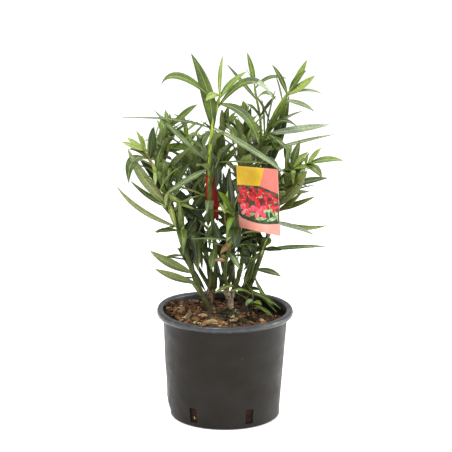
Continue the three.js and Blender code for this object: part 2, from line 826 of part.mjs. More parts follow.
// Feet stand on a stump or on the soil, and a fork starts on its parent's axis.
for (const shoot of Object.values(SHOOTS)) {
  const foot = shoot.route[0];
  if (shoot.forkOf) shoot.route[0] = pointAlong(SHOOTS[shoot.forkOf].route, shoot.forkAt).toArray();
  else foot[2] = (shoot.on === "soil" ? soilTop(foot[0], foot[1]) : STUMPS[shoot.on].top) + GAP;
}

const masses = new Map(); // node name to the solids that make it
for (const [name, shoot] of Object.entries(SHOOTS)) {
  const owner = `leaves_${shoot.forkOf ?? name}`;
  const length = vector(shoot.route[0]).distanceTo(vector(shoot.route[3]));
  let from = 0;
  if (shoot.leafyFrom) {
    const stem = limb(shoot, 0, shoot.leafyFrom, 8, 4, 1);
    claim(surfacePoints(stem), `stem_${name}`);
    addPiece(`stem_${name}`, stem, "stem");
    from = shoot.leafyFrom + GAP / length;
  }
  const twig = limb(shoot, from, 1, 3, TWIG_STEPS, SWELL);
  claim(surfacePoints(twig), owner);
  if (!masses.has(owner)) masses.set(owner, []);
  masses.get(owner).push(twig);
}

const extras = { label_card: [makeCard(), "card"], label_strip: [makeStrip(), "strip"], tie: [makeTie(), "tie"] };
for (const [name, [solid, finish]] of Object.entries(extras)) {
  claim(surfacePoints(solid), name);
  addPiece(name, solid, finish);
}

// Adds a leaf to its shoot's mass unless it would leave its space.
function addLeaf(name, row, keepToCrown) {
  const shoot = SHOOTS[name];
  const owner = `leaves_${shoot.forkOf ?? name}`;
  const leaf = leafShape(pointAlong(shoot.route, row[0]), row);
  const points = leafPoints(leaf, 3 + radiusAlong(shoot, row[0]) * SWELL);
  if (keepToCrown && !insideCrown(leaf.stations.at(-1).centre)) return false;
  if (!clearOfPot(points) || !isClear(points, owner)) return false;
  claim(points, owner);
  masses.get(owner).push(leafSolid(leaf));
  return true;
}

for (const [name, shoot] of Object.entries(SHOOTS)) {
  shoot.leaves.forEach((row) => addLeaf(name, row, false));
}
for (const [name, shoot] of Object.entries(SHOOTS)) {
  whorlRows(shoot).forEach((row) => addLeaf(name, row, true));
}
for (const [owner, solids] of masses) addPiece(owner, fused(solids), "leaf");

export default plant;
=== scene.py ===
# Potted oleander: the looks of the shrub, its pot, its bark mix and its labels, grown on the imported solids.
# Shapes are worked out in millimetres, +Z up and the front towards -Y. They become metres when a piece is
# finished.
from math import asin, atan2, ceil, copysign, cos, degrees, exp, hypot, pi, radians, sin, sqrt

import bmesh
import bpy
import numpy as np
from mathutils import Matrix, Quaternion, Vector, noise


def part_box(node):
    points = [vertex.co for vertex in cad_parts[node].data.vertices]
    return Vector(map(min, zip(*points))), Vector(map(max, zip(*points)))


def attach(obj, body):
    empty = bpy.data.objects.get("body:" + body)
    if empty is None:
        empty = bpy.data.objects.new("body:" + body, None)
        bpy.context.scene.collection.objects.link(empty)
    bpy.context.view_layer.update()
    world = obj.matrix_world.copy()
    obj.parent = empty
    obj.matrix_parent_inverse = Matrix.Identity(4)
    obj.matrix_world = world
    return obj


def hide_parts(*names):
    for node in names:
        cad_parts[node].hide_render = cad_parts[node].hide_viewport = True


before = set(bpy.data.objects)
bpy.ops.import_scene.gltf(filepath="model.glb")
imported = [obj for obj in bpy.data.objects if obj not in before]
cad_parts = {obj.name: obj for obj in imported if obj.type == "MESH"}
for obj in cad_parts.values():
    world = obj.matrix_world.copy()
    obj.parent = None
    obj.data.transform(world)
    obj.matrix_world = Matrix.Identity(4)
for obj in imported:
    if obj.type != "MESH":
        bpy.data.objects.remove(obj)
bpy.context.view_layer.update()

MM = 0.001

# Sizes that come from the frame

POT_LOW, POT_HIGH = (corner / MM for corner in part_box("pot"))
RIM_RADIUS = (POT_HIGH.x - POT_LOW.x) / 2
POT_HEIGHT = POT_HIGH.z

# Pot and soil

MOUTH_RADIUS = RIM_RADIUS - 11
SHOULDER_RADIUS = RIM_RADIUS - 9.5
BASE_RADIUS = RIM_RADIUS - 22
FOOT_RADIUS = BASE_RADIUS - 4.5
LIP_DEPTH = 10
SHOULDER_HEIGHT = POT_HEIGHT - LIP_DEPTH - 2
WALL = 2.2
WALL_FROM = 9  # height where the wall's taper starts
WALL_ROWS = (20, 33, 60, 90, 120, 150)  # heights of the rows of faces outside
INNER_ROWS = (150, 110, 70, 33, 20)
FLOOR = 3
POT_STEPS = 132  # columns round the pot: three of them make a slot's width
SLOT = {"count": 6, "first": -124.1, "low": 8.5, "high": 33, "columns": 3}
# The lip's roundings: (middle's distance from the axis and height, radius, first and last angle, steps)
LIP_ROUNDS = (
    ((RIM_RADIUS - 3, POT_HEIGHT - 6.2), 3, -70, 10, 5),
    ((RIM_RADIUS - 4.2, POT_HEIGHT - 4.2), 4.2, 10, 95, 7),
    ((MOUTH_RADIUS + 3, POT_HEIGHT - 3.6), 3, 95, 180, 5),
)
# Where the used pot isn't round: the lip's rises (bearing, height, sharpness), and how its left wall swells
LIP_RISES = ((150, 4.6, 2.5), (38, 2.5, 2))
LEFT_SWELL = {"wall": 3, "wall_top": 150, "low": 3.6, "low_at": 27, "low_spread": 15}

SOIL_LEVEL = 171
SOIL_SLOPE_X = -0.07
SOIL_SLOPE_Y = -0.04
SOIL_GAP = 0.4  # between the mix and the pot
SOIL_ROWS = (20, 31, 80, 130)
SOIL_RINGS = 34
SOIL_STEPS = 120
# The mix's surface: humps as (height, size of a patch, layer of noise), rises as (height, x, y, spread), and
# its drop towards the wall as (depth, distance from the axis, width)
HUMPS = ((2.6, 17, 0), (1.2, 6, 40))
RISES = ((-9, 62, 38, 900), (5, 4, 12, 700), (6.5, -72, 14, 1100))
EDGE_DROP = (3, 88, 12)

# Bark chips and moss. A pair is the least value and what chance adds, and lean is the most about each axis.
CHIPS = {"seed": 2024, "count": 900, "margin": 7, "length": (5, 11), "width": (0.35, 0.35),
         "thick": (1.6, 1.8), "lean": (1.1, 0.9), "lift": (0.6, 1.6), "rounding": 0.35, "knocks": 0.34}
CHIP_KINDS = ("red_brown", "orange", "dark", "straw", "grey")
# Dark chips at the right rear, where the mix sinks, are painted shade.
PAINTED_SHADE_REAR = {"x": 30, "y": 0, "chance": 0.75}
DARK_FRONT = {"x": 14, "y": -28, "flat": 1.3, "radius": 34, "chance": 0.6}
KINDS_UP_TO = ((0.42, "red_brown"), (0.66, "orange"), (0.86, "dark"), (0.94, "straw"))
SLOT_CHIP = {"height": 20, "size": (4, 5, 15)}  # it shows in the first slot
# The few large chips that stand out: (place, size, heading, kind)
LARGE_CHIPS = [
    ((-22, -78), (17, 13, 6), 20, "straw"),
    ((-72, -22), (18, 6, 5), 75, "orange"),
    ((-36, -34), (13, 9, 5), 140, "straw"),
    ((-34, -101), (15, 8, 5), 75, "orange"),
    ((38, 8), (18, 8, 4), 10, "orange"),
    ((14, -52), (14, 5, 4), 30, "straw"),
    ((78, -52), (14, 9, 5), 25, "straw"),
    ((26, -30), (16, 9, 5), 60, "orange"),
]
MOSS = {"seed": 4711, "count": 240, "corner": -8, "spread": 66, "left": 0.35, "front": 0.66, "size": (2, 3.2),
        "knocks": (0.8, 0.5), "lift": 0.8, "flat": 0.55}

# Each stump has its middle, the radii at its foot and neck, the height of its top, and its finish.
STUMPS = {
    "west": {"at": (-22, 21), "radii": (6.8, 4.2), "top": 213, "finish": "brown"},
    "middle": {"at": (9, 18), "radii": (7.2, 5.2), "top": 213, "finish": "grey"},
    "east": {"at": (31, 26), "radii": (9.5, 6.5), "top": 201, "finish": "dark"},
}
# From a stump's neck each arm bends to the foot of its stem.
ARM = {"sides": 14, "steps": 6, "into": 5, "bend": 14, "foot": 1.1, "neck": 0.8}
STUMP_SUNK = 4
STUMP_SIDES = 20
ARMS_FROM = 0.5  # share of a stump's height
FUSED = 0.9  # side of the cells that make one skin of a stump's parts

# Each shoot has a route through four points, the radii at its foot and its tip, and the share of it where its
# leaves start. A stump's name says what it stands on, and a shoot's name which mass it forks from. The leaves
# that show are rows of (share, bearing, rise, length, arch, width, turn, tone, bow). The share is where the
# leaf leaves the shoot. Its direction is in degrees, 0 to the right and 90 to the back. The arch is how far
# it bows up, as a share of its length, and the turn is how far its upper face turns to the front. A tone that
# isn't the usual one follows, or two of them where the outer part is paler, and then where it bows most if
# that isn't BEND_AT. whorls is (first share, last share, count, leaf length) of the threes of leaves that the
# seeded rule adds.
SHOOTS = {
    "leader": {
        "on": "west",
        "route": [(-18, 16, 0), (-18, -8, 306), (-25, -28, 419), (-7, -32, 543)],
        "radii": (4, 2.7), "leafy_from": 0.38, "seed": 11, "whorls": (0.42, 0.78, 7, 75),
        "leaves": [
            (0.99, 3, 86, 65, 0.03, 7, 60), (0.995, 230, -8, 36, 0.14, 12, 35, "young"),
            (0.98, 24, 41, 63, 0.06, 12, 30), (0.96, 194, 21, 98, 0.21, 15, 42, "mature", 0.92),
            # The paler outer part of the next leaf is a painted sheen.
            (0.935, 349, 12, 94, 0.37, 16, 42, ("mature", "pale"), 0.8),
            (0.96, 316, -32, 107, 0.195, 18, 20, "mature"),
            (0.845, 128, 65, 130, 0.12, 25, 75, "mature", 0.36),
            (0.85, 189, 9, 146, 0.05, 8, 22, ("mature", "silver_sheen"), 0.3),
            (0.86, 327, -24, 150, 0.02, 11, 35, "silver_sheen"), (0.7, 191, 45, 126, -0.02, 11, 40, "silver_sheen"),
            (0.675, 215, -21, 91, 0.02, 12, 30, "silver_sheen"), (0.7, 316, 7, 128, 0.02, 8, 10, "mature"),
            (0.46, 262, 10, 58, 0.34, 13, 0, "silver_sheen"), (0.57, 300, 61, 83, 0.03, 14, 55, "mature"),
        ],
    },
    "west": {
        "on": "soil",
        "route": [(-22, 0, 0), (-60, -5, 265), (-87, -28, 359), (-131, -40, 456)],
        "radii": (4.8, 2.2), "leafy_from": 0.1, "seed": 23, "whorls": (0.22, 0.93, 12, 65),
        "leaves": [
            (0.99, 196, 24, 40, 0, 11, 40), (0.99, 160, 34, 35, 0, 10, 40), (0.99, 221, 66, 37, 0.02, 9, 70),
            (0.98, 121, 67, 29, 0.02, 6, 40), (0.95, 230, -36, 58, 0.38, 17, 25, "mature"),
            (0.94, 78, 68, 53, 0.02, 22, 60, "fresh"), (0.66, 216, 52, 134, -0.06, 17, -60, "olive"),
            (0.65, 166, 32, 82, -0.05, 11, 30, "mature"), (0.54, 203, 36, 129, -0.08, 11, -50, "olive"),
            (0.52, 227, 7, 57, 0.03, 9, 35, "mature"), (0.51, 277, -23, 63, 0.35, 17, 0),
            (0.43, 264, 59, 94, 0.03, 11, -40), (0.36, 223, 7, 49, 0.02, 7, 20),
            (0.245, 217, 31, 101, -0.03, 16, -60, "olive"), (0.18, 216, 24.5, 93, -0.02, 14, -60, "olive"),
        ],
    },
    "northwest": {
        "on": "west",
        "route": [(-26, 15, 0), (-44, 8, 299), (-93, -5, 405), (-82, 0, 491)],
        "radii": (3.8, 2.1), "leafy_from": 0.3, "seed": 37, "whorls": (0.34, 0.94, 11, 70),
        "leaves": [
            (0.97, 337, 40, 62, 0.02, 14, 50, "mature"), (0.97, 98, 59, 23, 0.02, 8, 50, "mature"),
            (0.95, 239, 36, 32, 0.04, 9, 30), (0.83, 342, -10, 62, 0.14, 12, 50, "fresh"),
            (0.84, 140, 5, 41, 0.1, 12, 10), (0.8, 90, 38, 46, 0.05, 12, 30),
            (0.66, 272, -2, 40, 0.5, 13, 0, "mature"), (0.45, 298, -66, 90, 0.1, 9, 40),
            (0.36, 272, 56, 39, 0.03, 15, 60),
        ],
    },
    "back_west": {
        "on": "west",
        "route": [(-24, 29, 0), (-37, 50, 303), (-53, 70, 392), (-65, 80, 473)],
        "radii": (3.8, 2), "leafy_from": 0.3, "seed": 41, "whorls": (0.36, 0.95, 9, 85),
        "leaves": [
            (0.98, 131, 63, 29, 0.02, 6, 30, "mature"), (0.96, 1, 40, 26, 0.02, 6, 30),
            (0.93, 313, 13, 27, 0.04, 8, 30), (0.88, 112, 66, 44, 0.02, 9, 60),
            (0.86, 331, 51, 57, 0.03, 12, 40, "silver_sheen"),
        ],
    },
    "rear_left": {
        "on": "west",
        "route": [(-26, 25, 0), (-70, 62, 290), (-98, 88, 370), (-118, 100, 446)],
        "radii": (3.4, 2), "leafy_from": 0.3, "seed": 53, "whorls": (0.34, 0.98, 11, 72),
        "leaves": [],
    },
    "centre": {
        "on": "middle",
        "route": [(3, 24, 0), (10, 45, 287), (-7, 60, 377), (2, 70, 478)],
        "radii": (3.8, 2.1), "leafy_from": 0.32, "seed": 67, "whorls": (0.36, 0.84, 9, 80),
        "leaves": [
            (0.97, 109, 70, 34, 0.02, 11, 60, "mature"), (0.97, 6, 80, 40, 0.02, 11, 60, "mature"),
            (0.98, 321, 51, 37, 0.02, 11, 60, "fresh"), (0.97, 26, 42, 33, 0.06, 9, 40, "mature"),
            (0.9, 263, 50, 43, 0.03, 11, 50, "mature"), (0.78, 303, 55, 50, 0.02, 12, 60, "mature"),
            (0.76, 355, 49, 51, 0.02, 12, 50, "fresh"), (0.73, 287, 26, 38, 0.28, 12, 0),
        ],
    },
    "middle": {
        "on": "middle",
        "route": [(16, 14, 0), (30, -4, 293), (29, -12, 395), (36, 14, 507)],
        "radii": (3.8, 2.1), "leafy_from": 0.34, "seed": 71, "whorls": (0.38, 0.86, 10, 70),
        "leaves": [
            (0.98, 139, 73, 26, 0.02, 11, 50, "fresh"), (0.98, 235, 50, 29, 0.05, 6, 20),
            (0.98, 286, 55, 28, 0.02, 7, 40), (0.83, 245, 66, 64, 0.08, 16, 50),
            (0.8, 292, 57, 66, 0.02, 9, 40, "fresh"),
        ],
    },
    "front": {
        "on": "middle",
        "route": [(3, 10, 0), (3, -20, 272), (13, -50, 315), (11, -74, 365)],
        "radii": (3.2, 1.9), "leafy_from": 0.2, "seed": 83, "whorls": (0.3, 0.88, 5, 60),
        "leaves": [
            (0.97, 210, 54, 45, 0.02, 15, 60, "bright"), (0.97, 300, 59, 46, 0, 12, 60, "mature"),
            (0.95, 238, 18, 27, 0.08, 12, 35, "bright"), (0.93, 258, -20, 53, 0.12, 9, 10, "bright"),
            (0.62, 273, -2, 54, 0.45, 20, 0, "deep_shaded"), (0.6, 201, 7, 73, 0.02, 6, 10, "silver_sheen"),
            (0.25, 269, 45, 25, 0.3, 11, 0, "young"),
        ],
    },
    "rear_mid": {
        "on": "middle",
        "route": [(15, 26, 0), (16, 78, 290), (24, 112, 366), (22, 132, 446)],
        "radii": (3.4, 2), "leafy_from": 0.32, "seed": 97, "whorls": (0.34, 0.98, 11, 78),
        "leaves": [],
    },
    "tall_east": {
        "on": "east",
        "route": [(25, 24, 0), (51, 24, 301), (56, 22, 422), (109, 10, 547)],
        "radii": (4, 2.3), "leafy_from": 0.36, "seed": 101, "whorls": (0.4, 0.84, 10, 75),
        "leaves": [
            (0.98, 8, 61, 60, -0.03, 12, 45), (0.98, 338, 52, 47, 0.04, 13, 60, "mature"),
            (0.97, 334, 35, 59, -0.04, 15, 60, "young"), (0.96, 335, 8, 64, 0.12, 8, 25, "silver_sheen"),
            (0.97, 146, 58, 54, 0.05, 9, 30, "mature"), (0.94, 147, 73, 42, 0.02, 5, 0, "mature"),
            (0.945, 327, -13, 60, 0.07, 9, 35, "silver_sheen"), (0.8, 305, 72, 76, 0.02, 14, 60, "fresh"),
            (0.8, 2, 31, 68, 0.06, 7, 30, "silver_sheen"), (0.8, 330, 15, 58, 0.24, 9, 45),
            (0.77, 160, 86, 68, 0.02, 6, 10), (0.56, 15, 70, 158, -0.03, 21, 70, "mature"),
            (0.793, 358, 9, 105, 0, 13, 50, "pale"), (0.712, 2, 13.8, 123, 0.01, 8, 30, "silver_sheen"),
            (0.8, 340, -39, 63, 0.05, 9, 30, "silver_sheen"), (0.79, 304, -33, 42, 0.05, 11, 40, "fresh"),
            (0.71, 255, -1, 30, 0.12, 9, 20),
        ],
    },
    "top": {
        "fork_of": "tall_east", "fork_at": 0.7,
        "route": [(0, 0, 0), (58, 28, 487), (53, 31, 519), (48, 32, 550)],
        "radii": (2.2, 1.8), "leafy_from": 0, "seed": 109, "whorls": (0.3, 0.6, 1, 40),
        "leaves": [
            (0.98, 180, 77, 55, 0.02, 9, 70), (0.97, 216, 58, 38, 0.04, 6, 20, "fresh"),
            (0.93, 352, 19, 54, 0.18, 9, 35, "mature"), (0.74, 326, 4, 37, 0.3, 9, 35, "fresh"),
            (0.72, 158, 47, 76, 0, 9, 20), (0.42, 336, 52, 47, 0.02, 11, 40, "deep_shaded"),
            (0.42, 198, 45, 33, 0.06, 13, 30, "fresh"), (0.36, 71, 15, 26, 0.05, 5, 0),
        ],
    },
    "low_east": {
        "on": "east",
        "route": [(37, 20, 0), (61, 12, 271), (88, 0, 356), (108, -15, 420)],
        "radii": (4, 2.1), "leafy_from": 0.12, "seed": 113, "whorls": (0.2, 0.86, 11, 70),
        "leaves": [
            (0.98, 223, 79, 45, 0.02, 10, 40, "fresh"), (0.99, 34, 69, 47, 0.04, 12, 60, "mature"),
            (0.98, 337, 47, 41, 0.02, 10, 50, "young"), (0.98, 312, 11, 42, 0.06, 11, 30, "fresh"),
            (0.97, 275, -30, 36, 0.35, 9, 0, "fresh"), (0.66, 319, 48, 88, 0.02, 24, -70, "olive"),
            (0.8, 20, 8, 77, 0.03, 12, 45, "mature"), (0.63, 340, 23, 69, -0.03, 12, 45, "olive"),
            (0.74, 36, -1, 56, 0.02, 9, 40), (0.56, 8, -7, 90, -0.09, 10, 40, "olive"),
            (0.55, 337, -12, 74, 0.02, 14, -50, "pale"), (0.36, 353, 5, 103, 0.015, 10, 35, "silver_sheen"),
            (0.31, 286, 45, 78, 0.03, 14, 50), (0.22, 304, 2, 70, 0.04, 11, 40, "silver_sheen"),
            (0.17, 303, -35, 82, -0.08, 7, 25, "mature"),
        ],
    },
    "far_east": {
        "fork_of": "low_east", "fork_at": 0.7,
        "route": [(0, 0, 0), (103, -10, 396), (117, -20, 414), (135, -28, 431)],
        "radii": (2.1, 1.7), "leafy_from": 0, "seed": 127, "whorls": (0.2, 0.92, 3, 45),
        "leaves": [
            (0.97, 353, 52, 34, 0, 8, 50, "young"), (0.97, 37, 47, 30, 0, 7, 50, "young"),
            (0.95, 352, 8, 59, 0.08, 12, 40, "fresh"), (0.93, 305, -19, 43, 0.13, 14, 25, "mature"),
            (0.8, 275, -5, 26, 0.2, 8, 0),
        ],
    },
    "rear_right": {
        "on": "east",
        "route": [(34, 33, 0), (70, 68, 285), (94, 94, 362), (112, 106, 436)],
        "radii": (3.4, 2), "leafy_from": 0.3, "seed": 131, "whorls": (0.34, 0.98, 11, 72),
        "leaves": [],
    },
    "basal": {
        "on": "soil",
        "route": [(42, 0, 0), (44, -3, 186), (45, -5, 197), (47, -6, 209)],
        "radii": (2.4, 1.6), "leafy_from": 0, "seed": 139, "whorls": (0.3, 0.9, 2, 35),
        "leaves": [
            (0.95, 309, -9, 50, 0.1, 8, 20, "mature"), (0.5, 304, 5, 28, 0.1, 9, 20, "fresh"),
            (0.4, 306, -8, 60, 0.08, 6, 0), (0.95, 60, 5, 30, 0.1, 8, 0, "deep_shaded"),
            (0.9, 190, 12, 40, 0.15, 9, 10, "young"),
        ],
    },
}

# The leaf rule, shared with the solids

BEND_AT = 0.56  # where along its length a leaf bows most
SWELL = 1.25  # how far round a shoot its leaves' feet are left out of the test for free space
CELL = 2  # side of the cells that record which space is taken
SAMPLE_STEP = 2.5
CLEAR = {"above_pot": 2, "inside_pot": 4, "above_soil": 3}
LANCE = {"skew": 0.87, "fullness": 0.86}  # the outline of a blade
CROWN = {"x": 10, "y": 28, "depth": 0.95, "low": 220, "wide": 420, "narrow": 70, "widest": 165,
         "top": 560, "top_width": 80}
# A whorl's angles in degrees, and the sizes of its leaves, which are shorter and closer near the tip
WHORL = {"step": 60, "start": 50, "stray": 30, "young_from": 0.72, "young_over": 0.28, "spread": 60,
         "closer": 32, "spread_stray": 16, "shorter": 0.6, "length": (0.8, 0.45), "arch": (0.03, 0.13),
         "width": (3, 0.13), "widest": 18}

# What is finer here than in the solids

WHORL_WIDTH = 1.2  # leaves of the solids' whorls are this much wider here
EXTRA_WHORLS = 2.2  # more whorls here for each whorl of the solids
EXTRA = {"seed": 1000, "lowest": 0.16, "lower": 0.14, "highest": 0.85, "least": 52, "length": 1.12,
         "width": 1.35}
BLADE = {"across": 5, "along": 12, "thick": 0.45, "rib": 0.13, "rib_half": 0.62, "rib_share": 0.2,
         "rib_taper": 0.6, "fold": 0.24, "wave": 0.35, "wave_full": 8, "waves": 9, "twist": 0.5,
         "twist_from": 0.3, "foot_half": 1.0, "tip_half": 0.25}
FOLIAGE_SEED = 777
SIDE_TWIGS = {"seed": 500, "count": 3, "first": 0.45, "last": 0.85, "length": (44, 0.6, 0.7),
              "radii": (1.3, 0.9), "leaf": (55, 0.8, 0.5), "whorls": (0.6, 0.98, 2),
              "leaves": (0.75, 0.66), "ends": (0.95, 0.3, 0.3)}
# How a shoot's girth varies: at its foot, round its whorls and at its tip
GIRTH = {"foot": 0.22, "foot_share": 0.05, "whorl": 0.12, "apart": 21, "sharp": 6, "tip": 0.4,
         "tip_share": 0.05}
RINGS = {"bough": (4, 14), "leafy": (5, 10), "twig": (6, 7)}  # a limb's spacing of rings, and its sides
RELIEF = {"bough": (5, 0.7), "twig": (4, 0.35), "stump": ((6, 1.3), (2.2, 0.6))}  # size of a patch, and depth
TIP_BARK = {"leader": 1, "west": 2, "northwest": 2}  # finishes of leafy ends that aren't the usual bark
BROWN_FROM = 0.82  # share of a brown leafy end where its own bark starts
TONES = ("deep_shaded", "mature", "fresh", "bright", "young", "silver_sheen", "pale", "olive", "withered")
TONES_FROM = ((0.965, "young"), (0.87, "fresh"), (0.52, "mature"))  # by a leaf's place on its shoot
TONE_STRAY = 0.05  # how far chance shifts that place
# The lowest leaves that aren't mature take deep_shaded: the dark green of older leaves, made darker still as
# painted shade for the inside of the crown.
MATURE_LOW = 0.4  # share of the lowest leaves that are mature, the others being deep
FULL_TURN = 6.28  # radians, for turns that chance gives

# Leaves that only this script has, each by where its tip is seen in the photograph's frame: (share of the
# shoot, the tip's place across and down, its depth in millimetres, arch, width, turn, tone).
# Those in deep_shaded are darkened as painted shade, for where the crown lies in shade.
NEAR_LEAVES = {
    "west": [
        (0.45, 198, 217, -8, 0.04, 19, 60, "deep_shaded"), (0.76, 194, 208.5, -66, -0.06, 9, 40, "olive"),
        (0.7, 176, 228, -42, -0.02, 9, 50, "olive"), (0.3, 206, 292, 10, 0, 7, 75, "deep_shaded"),
        (0.94, 154, 126.5, -30, 0.02, 12, 50, "deep_shaded"), (0.93, 129, 149, -45, 0.12, 11, 30, "mature"),
        (0.43, 185, 256, -30, 0.05, 16, 10, "deep_shaded"), (0.33, 166, 257, -12, 0.02, 4, 30, "deep_shaded"),
        (0.22, 176, 277, -12, -0.02, 5, 30, "deep_shaded"), (0.08, 188.5, 279.5, -12, 0.03, 9, 60, "mature"),
        (0.55, 156, 233, -28, 0.02, 6, 40, "mature"), (0.72, 140, 160, -22, 0.05, 16, 50, "deep_shaded"),
    ],
    "northwest": [
        (0.52, 205, 222, -8, 0.03, 18, 60, "deep_shaded"), (0.6, 190, 210, -4, 0.03, 17, 60, "deep_shaded"),
        (0.08, 201, 252, -6, 0.02, 10, 60, "deep_shaded"), (0.55, 181, 240, -12, 0.03, 10, 60, "olive"),
        (0.35, 198, 271, -14, 0.02, 11, 10, "olive"), (0.53, 183, 233.5, -34, 0.02, 10, 10, "olive"),
        (0.4, 191, 250, -4, 0.03, 17, 10, "deep_shaded"), (0.82, 181, 150, -6, 0.05, 14, 50, "mature"),
        (0.78, 172, 160, -10, 0.03, 12, 10, "deep_shaded"), (0.3, 202, 270, 4, 0, 7, 60, "deep_shaded"),
        (0.12, 224, 280, -10, 0.05, 8, 40, "deep_shaded"), (0.77, 168, 186, -40, 0.03, 18, 70, "olive"),
        (0.62, 206, 196, -32, 0.02, 5, 20, "olive"), (0.49, 238, 213, -62, 0.01, 7, 5, "mature"),
    ],
    "centre": [
        (0.93, 221.5, 110, 62, 0.02, 11, 20, "mature"), (0.5, 230, 167, 30, 0.04, 14, 10, "deep_shaded"),
        (0.46, 223, 172, 34, 0.03, 13, 10, "deep_shaded"), (0.34, 215, 254, 20, 0.05, 14, 40, "deep_shaded"),
        (0.38, 223, 264, 12, 0.05, 12, 10, "deep_shaded"), (0.22, 219, 291, 12, 0.02, 12, 50, "deep_shaded"),
        (0.44, 231, 262, 22, 0.02, 13, 50, "deep_shaded"), (0.42, 218, 236, 26, 0.03, 14, 40, "deep_shaded"),
    ],
    "leader": [
        (0.57, 220, 150, -48, 0.03, 11, 20, "mature"), (0.62, 196.5, 134, 6, 0.02, 11, 30, "deep_shaded"),
        (0.76, 214, 191, -38, 0.2, 11, 25, "deep_shaded"), (0.24, 199, 249, -18, 0.03, 9, 50, "deep_shaded"),
        (0.27, 211, 270, -26, 0.03, 13, 10, "mature"), (0.32, 199, 220, -22, 0.02, 8, 50, "olive"),
        (0.2, 221, 290, 6, 0.02, 9, 50, "deep_shaded"), (0.4, 206, 241, -24, 0.02, 10, 60, "mature"),
        (0.42, 220, 242, -26, 0.03, 11, 60, "deep_shaded"), (0.5, 208, 227, 0, 0.02, 11, 10, "deep_shaded"),
        (0.4, 209.5, 250, -6, 0.02, 11, 10, "deep_shaded"),
    ],
    "front": [
        (0.5, 195, 239, -34, 0, 5, 10, "mature"), (0.42, 239, 269, -36, 0.08, 10, 50, "silver_sheen"),
        (0.9, 236, 248, -70, 0.03, 20, 70, "deep_shaded"), (0.75, 228, 168, -20, 0.02, 13, 15, "deep_shaded"),
        (0.72, 219.5, 227, 0, 0.02, 13, 50, "deep_shaded"), (0.8, 218, 219, -10, 0.02, 12, 60, "deep_shaded"),
        (0.56, 220.5, 253.5, -42, 0.04, 10, 50, "withered"),
        (0.31, 214.5, 260.5, -38, 0.03, 8, 70, "withered"), (0.1, 220.5, 252, 6, 0.02, 9, 60, "mature"),
    ],
    "middle": [
        (0.85, 251, 107, 10, 0.02, 12, 30, "deep_shaded"), (0.28, 262, 238, -14, 0.03, 13, 40, "deep_shaded"),
        (0.45, 249, 247, -24, 0.02, 17, 10, "deep_shaded"), (0.42, 257, 241, -20, 0.02, 17, 20, "mature"),
        (0.05, 243, 262, 6, 0.02, 11, 60, "deep_shaded"), (0.36, 256, 246, -12, 0.03, 13, 50, "deep_shaded"),
        (0.33, 248, 271, -8, 0.02, 12, 50, "deep_shaded"), (0.44, 251, 252, -22, 0.02, 12, 50, "mature"),
        (0.02, 215, 293, -12, 0.08, 8, 40, "olive"), (0.5, 238, 262, 6, 0.03, 15, 50, "deep_shaded"),
        (0.46, 245, 258, 0, 0.03, 14, 50, "deep_shaded"), (0.03, 243, 295, -6, 0.05, 8, 50, "deep_shaded"),
    ],
    "tall_east": [
        (0.34, 246, 256, 2, 0.03, 13, 35, "deep_shaded"), (0.36, 264, 250, 8, 0.03, 12, 60, "deep_shaded"),
        (0.42, 248, 266, 6, 0.03, 13, 25, "deep_shaded"), (0.78, 289, 93, 8, 0, 11, 60, "mature"),
        (0.74, 275, 168, 40, 0.03, 12, 60, "pale"), (0.2, 243.5, 287, 6, 0.02, 10, 10, "mature"),
        (0.7, 279, 167, 10, 0.02, 13, 30, "pale"), (0.03, 280.5, 308.5, -57, 0.04, 7, 20, "mature"),
    ],
    "low_east": [
        (0.36, 243, 271, -16, 0.02, 7, 40, "mature"), (0.365, 281.5, 250.3, -20, 0.03, 10, 45, "mature"),
        (0.62, 303, 191, -50, -0.05, 16, 50, "olive"), (0.45, 264, 247, -16, 0.02, 18, 10, "olive"),
        (0.4, 257, 252, -12, 0.02, 13, 15, "mature"), (0.35, 237, 246, -14, 0.03, 12, 40, "silver_sheen"),
        (0.7, 306.5, 173, -58, 0.02, 22, 60, "olive"), (0.84, 287, 145, -6, 0, 11, 60, "fresh"),
        (0.06, 259, 290, 4, 0.05, 7, 40, "deep_shaded"),
    ],
    "basal": [
        (0.4, 270, 316, -52, 0.08, 6, 30, "mature"), (0.7, 246, 305.5, -30, 0.06, 9, 20, "silver_sheen"),
    ],
}

# Places where the sky shows through or beside the crown, in the photograph's frame: (across, down, radius).
# A leaf of the seeded rule stays out of them.
OPENINGS = [
    (238, 90, 13), (268, 80, 15), (268, 100, 7), (296, 112, 17), (302, 138, 9), (332, 148, 22),
    (199, 108, 10), (182, 96, 16), (308, 222, 32), (294, 262, 24), (144, 236, 32), (124, 215, 22),
    (150, 272, 26), (126, 120, 22), (287, 137, 5), (281, 158, 3), (229, 140, 2.5), (233, 150, 2),
    (225, 172, 2), (222, 196, 2), (144, 170, 2), (168, 156, 2.5), (173, 184, 2), (179, 196, 2.5),
    (203, 262, 3), (222, 225, 2), (211, 246, 2), (190, 232, 2.5), (253, 262, 2), (262, 268, 5),
    (174, 254, 4), (313, 176, 4), (322, 188, 8), (334, 171, 8), (318, 168, 2), (292.5, 157, 3),
    (302.5, 149, 3), (311, 155, 2.5), (264, 123, 4), (194, 128, 4), (224, 231, 3), (209.5, 227, 1.5),
    (222, 185, 2.5), (193, 129, 4.5), (203, 128, 2.5), (276, 104, 3), (205, 280, 3), (280, 168, 3),
    (228, 158, 2), (236, 146, 2),
]
MOST_IN_OPENINGS = 3  # points of a leaf

# Labels and tie

CARD = {"width": 78, "height": 110, "thick": 0.7, "corner": 1.5, "at": (53, -65, 380), "yaw": -34, "pitch": 8,
        "tilt": 2, "droop": 5, "dip": 2.5, "hole": (12, 5)}
CARD_RING_SHARE = 0.745  # along the middle shoot
INK_GAP, INK_STEP = 0.04, 0.015  # from the card to its first ink, and from each ink to the next
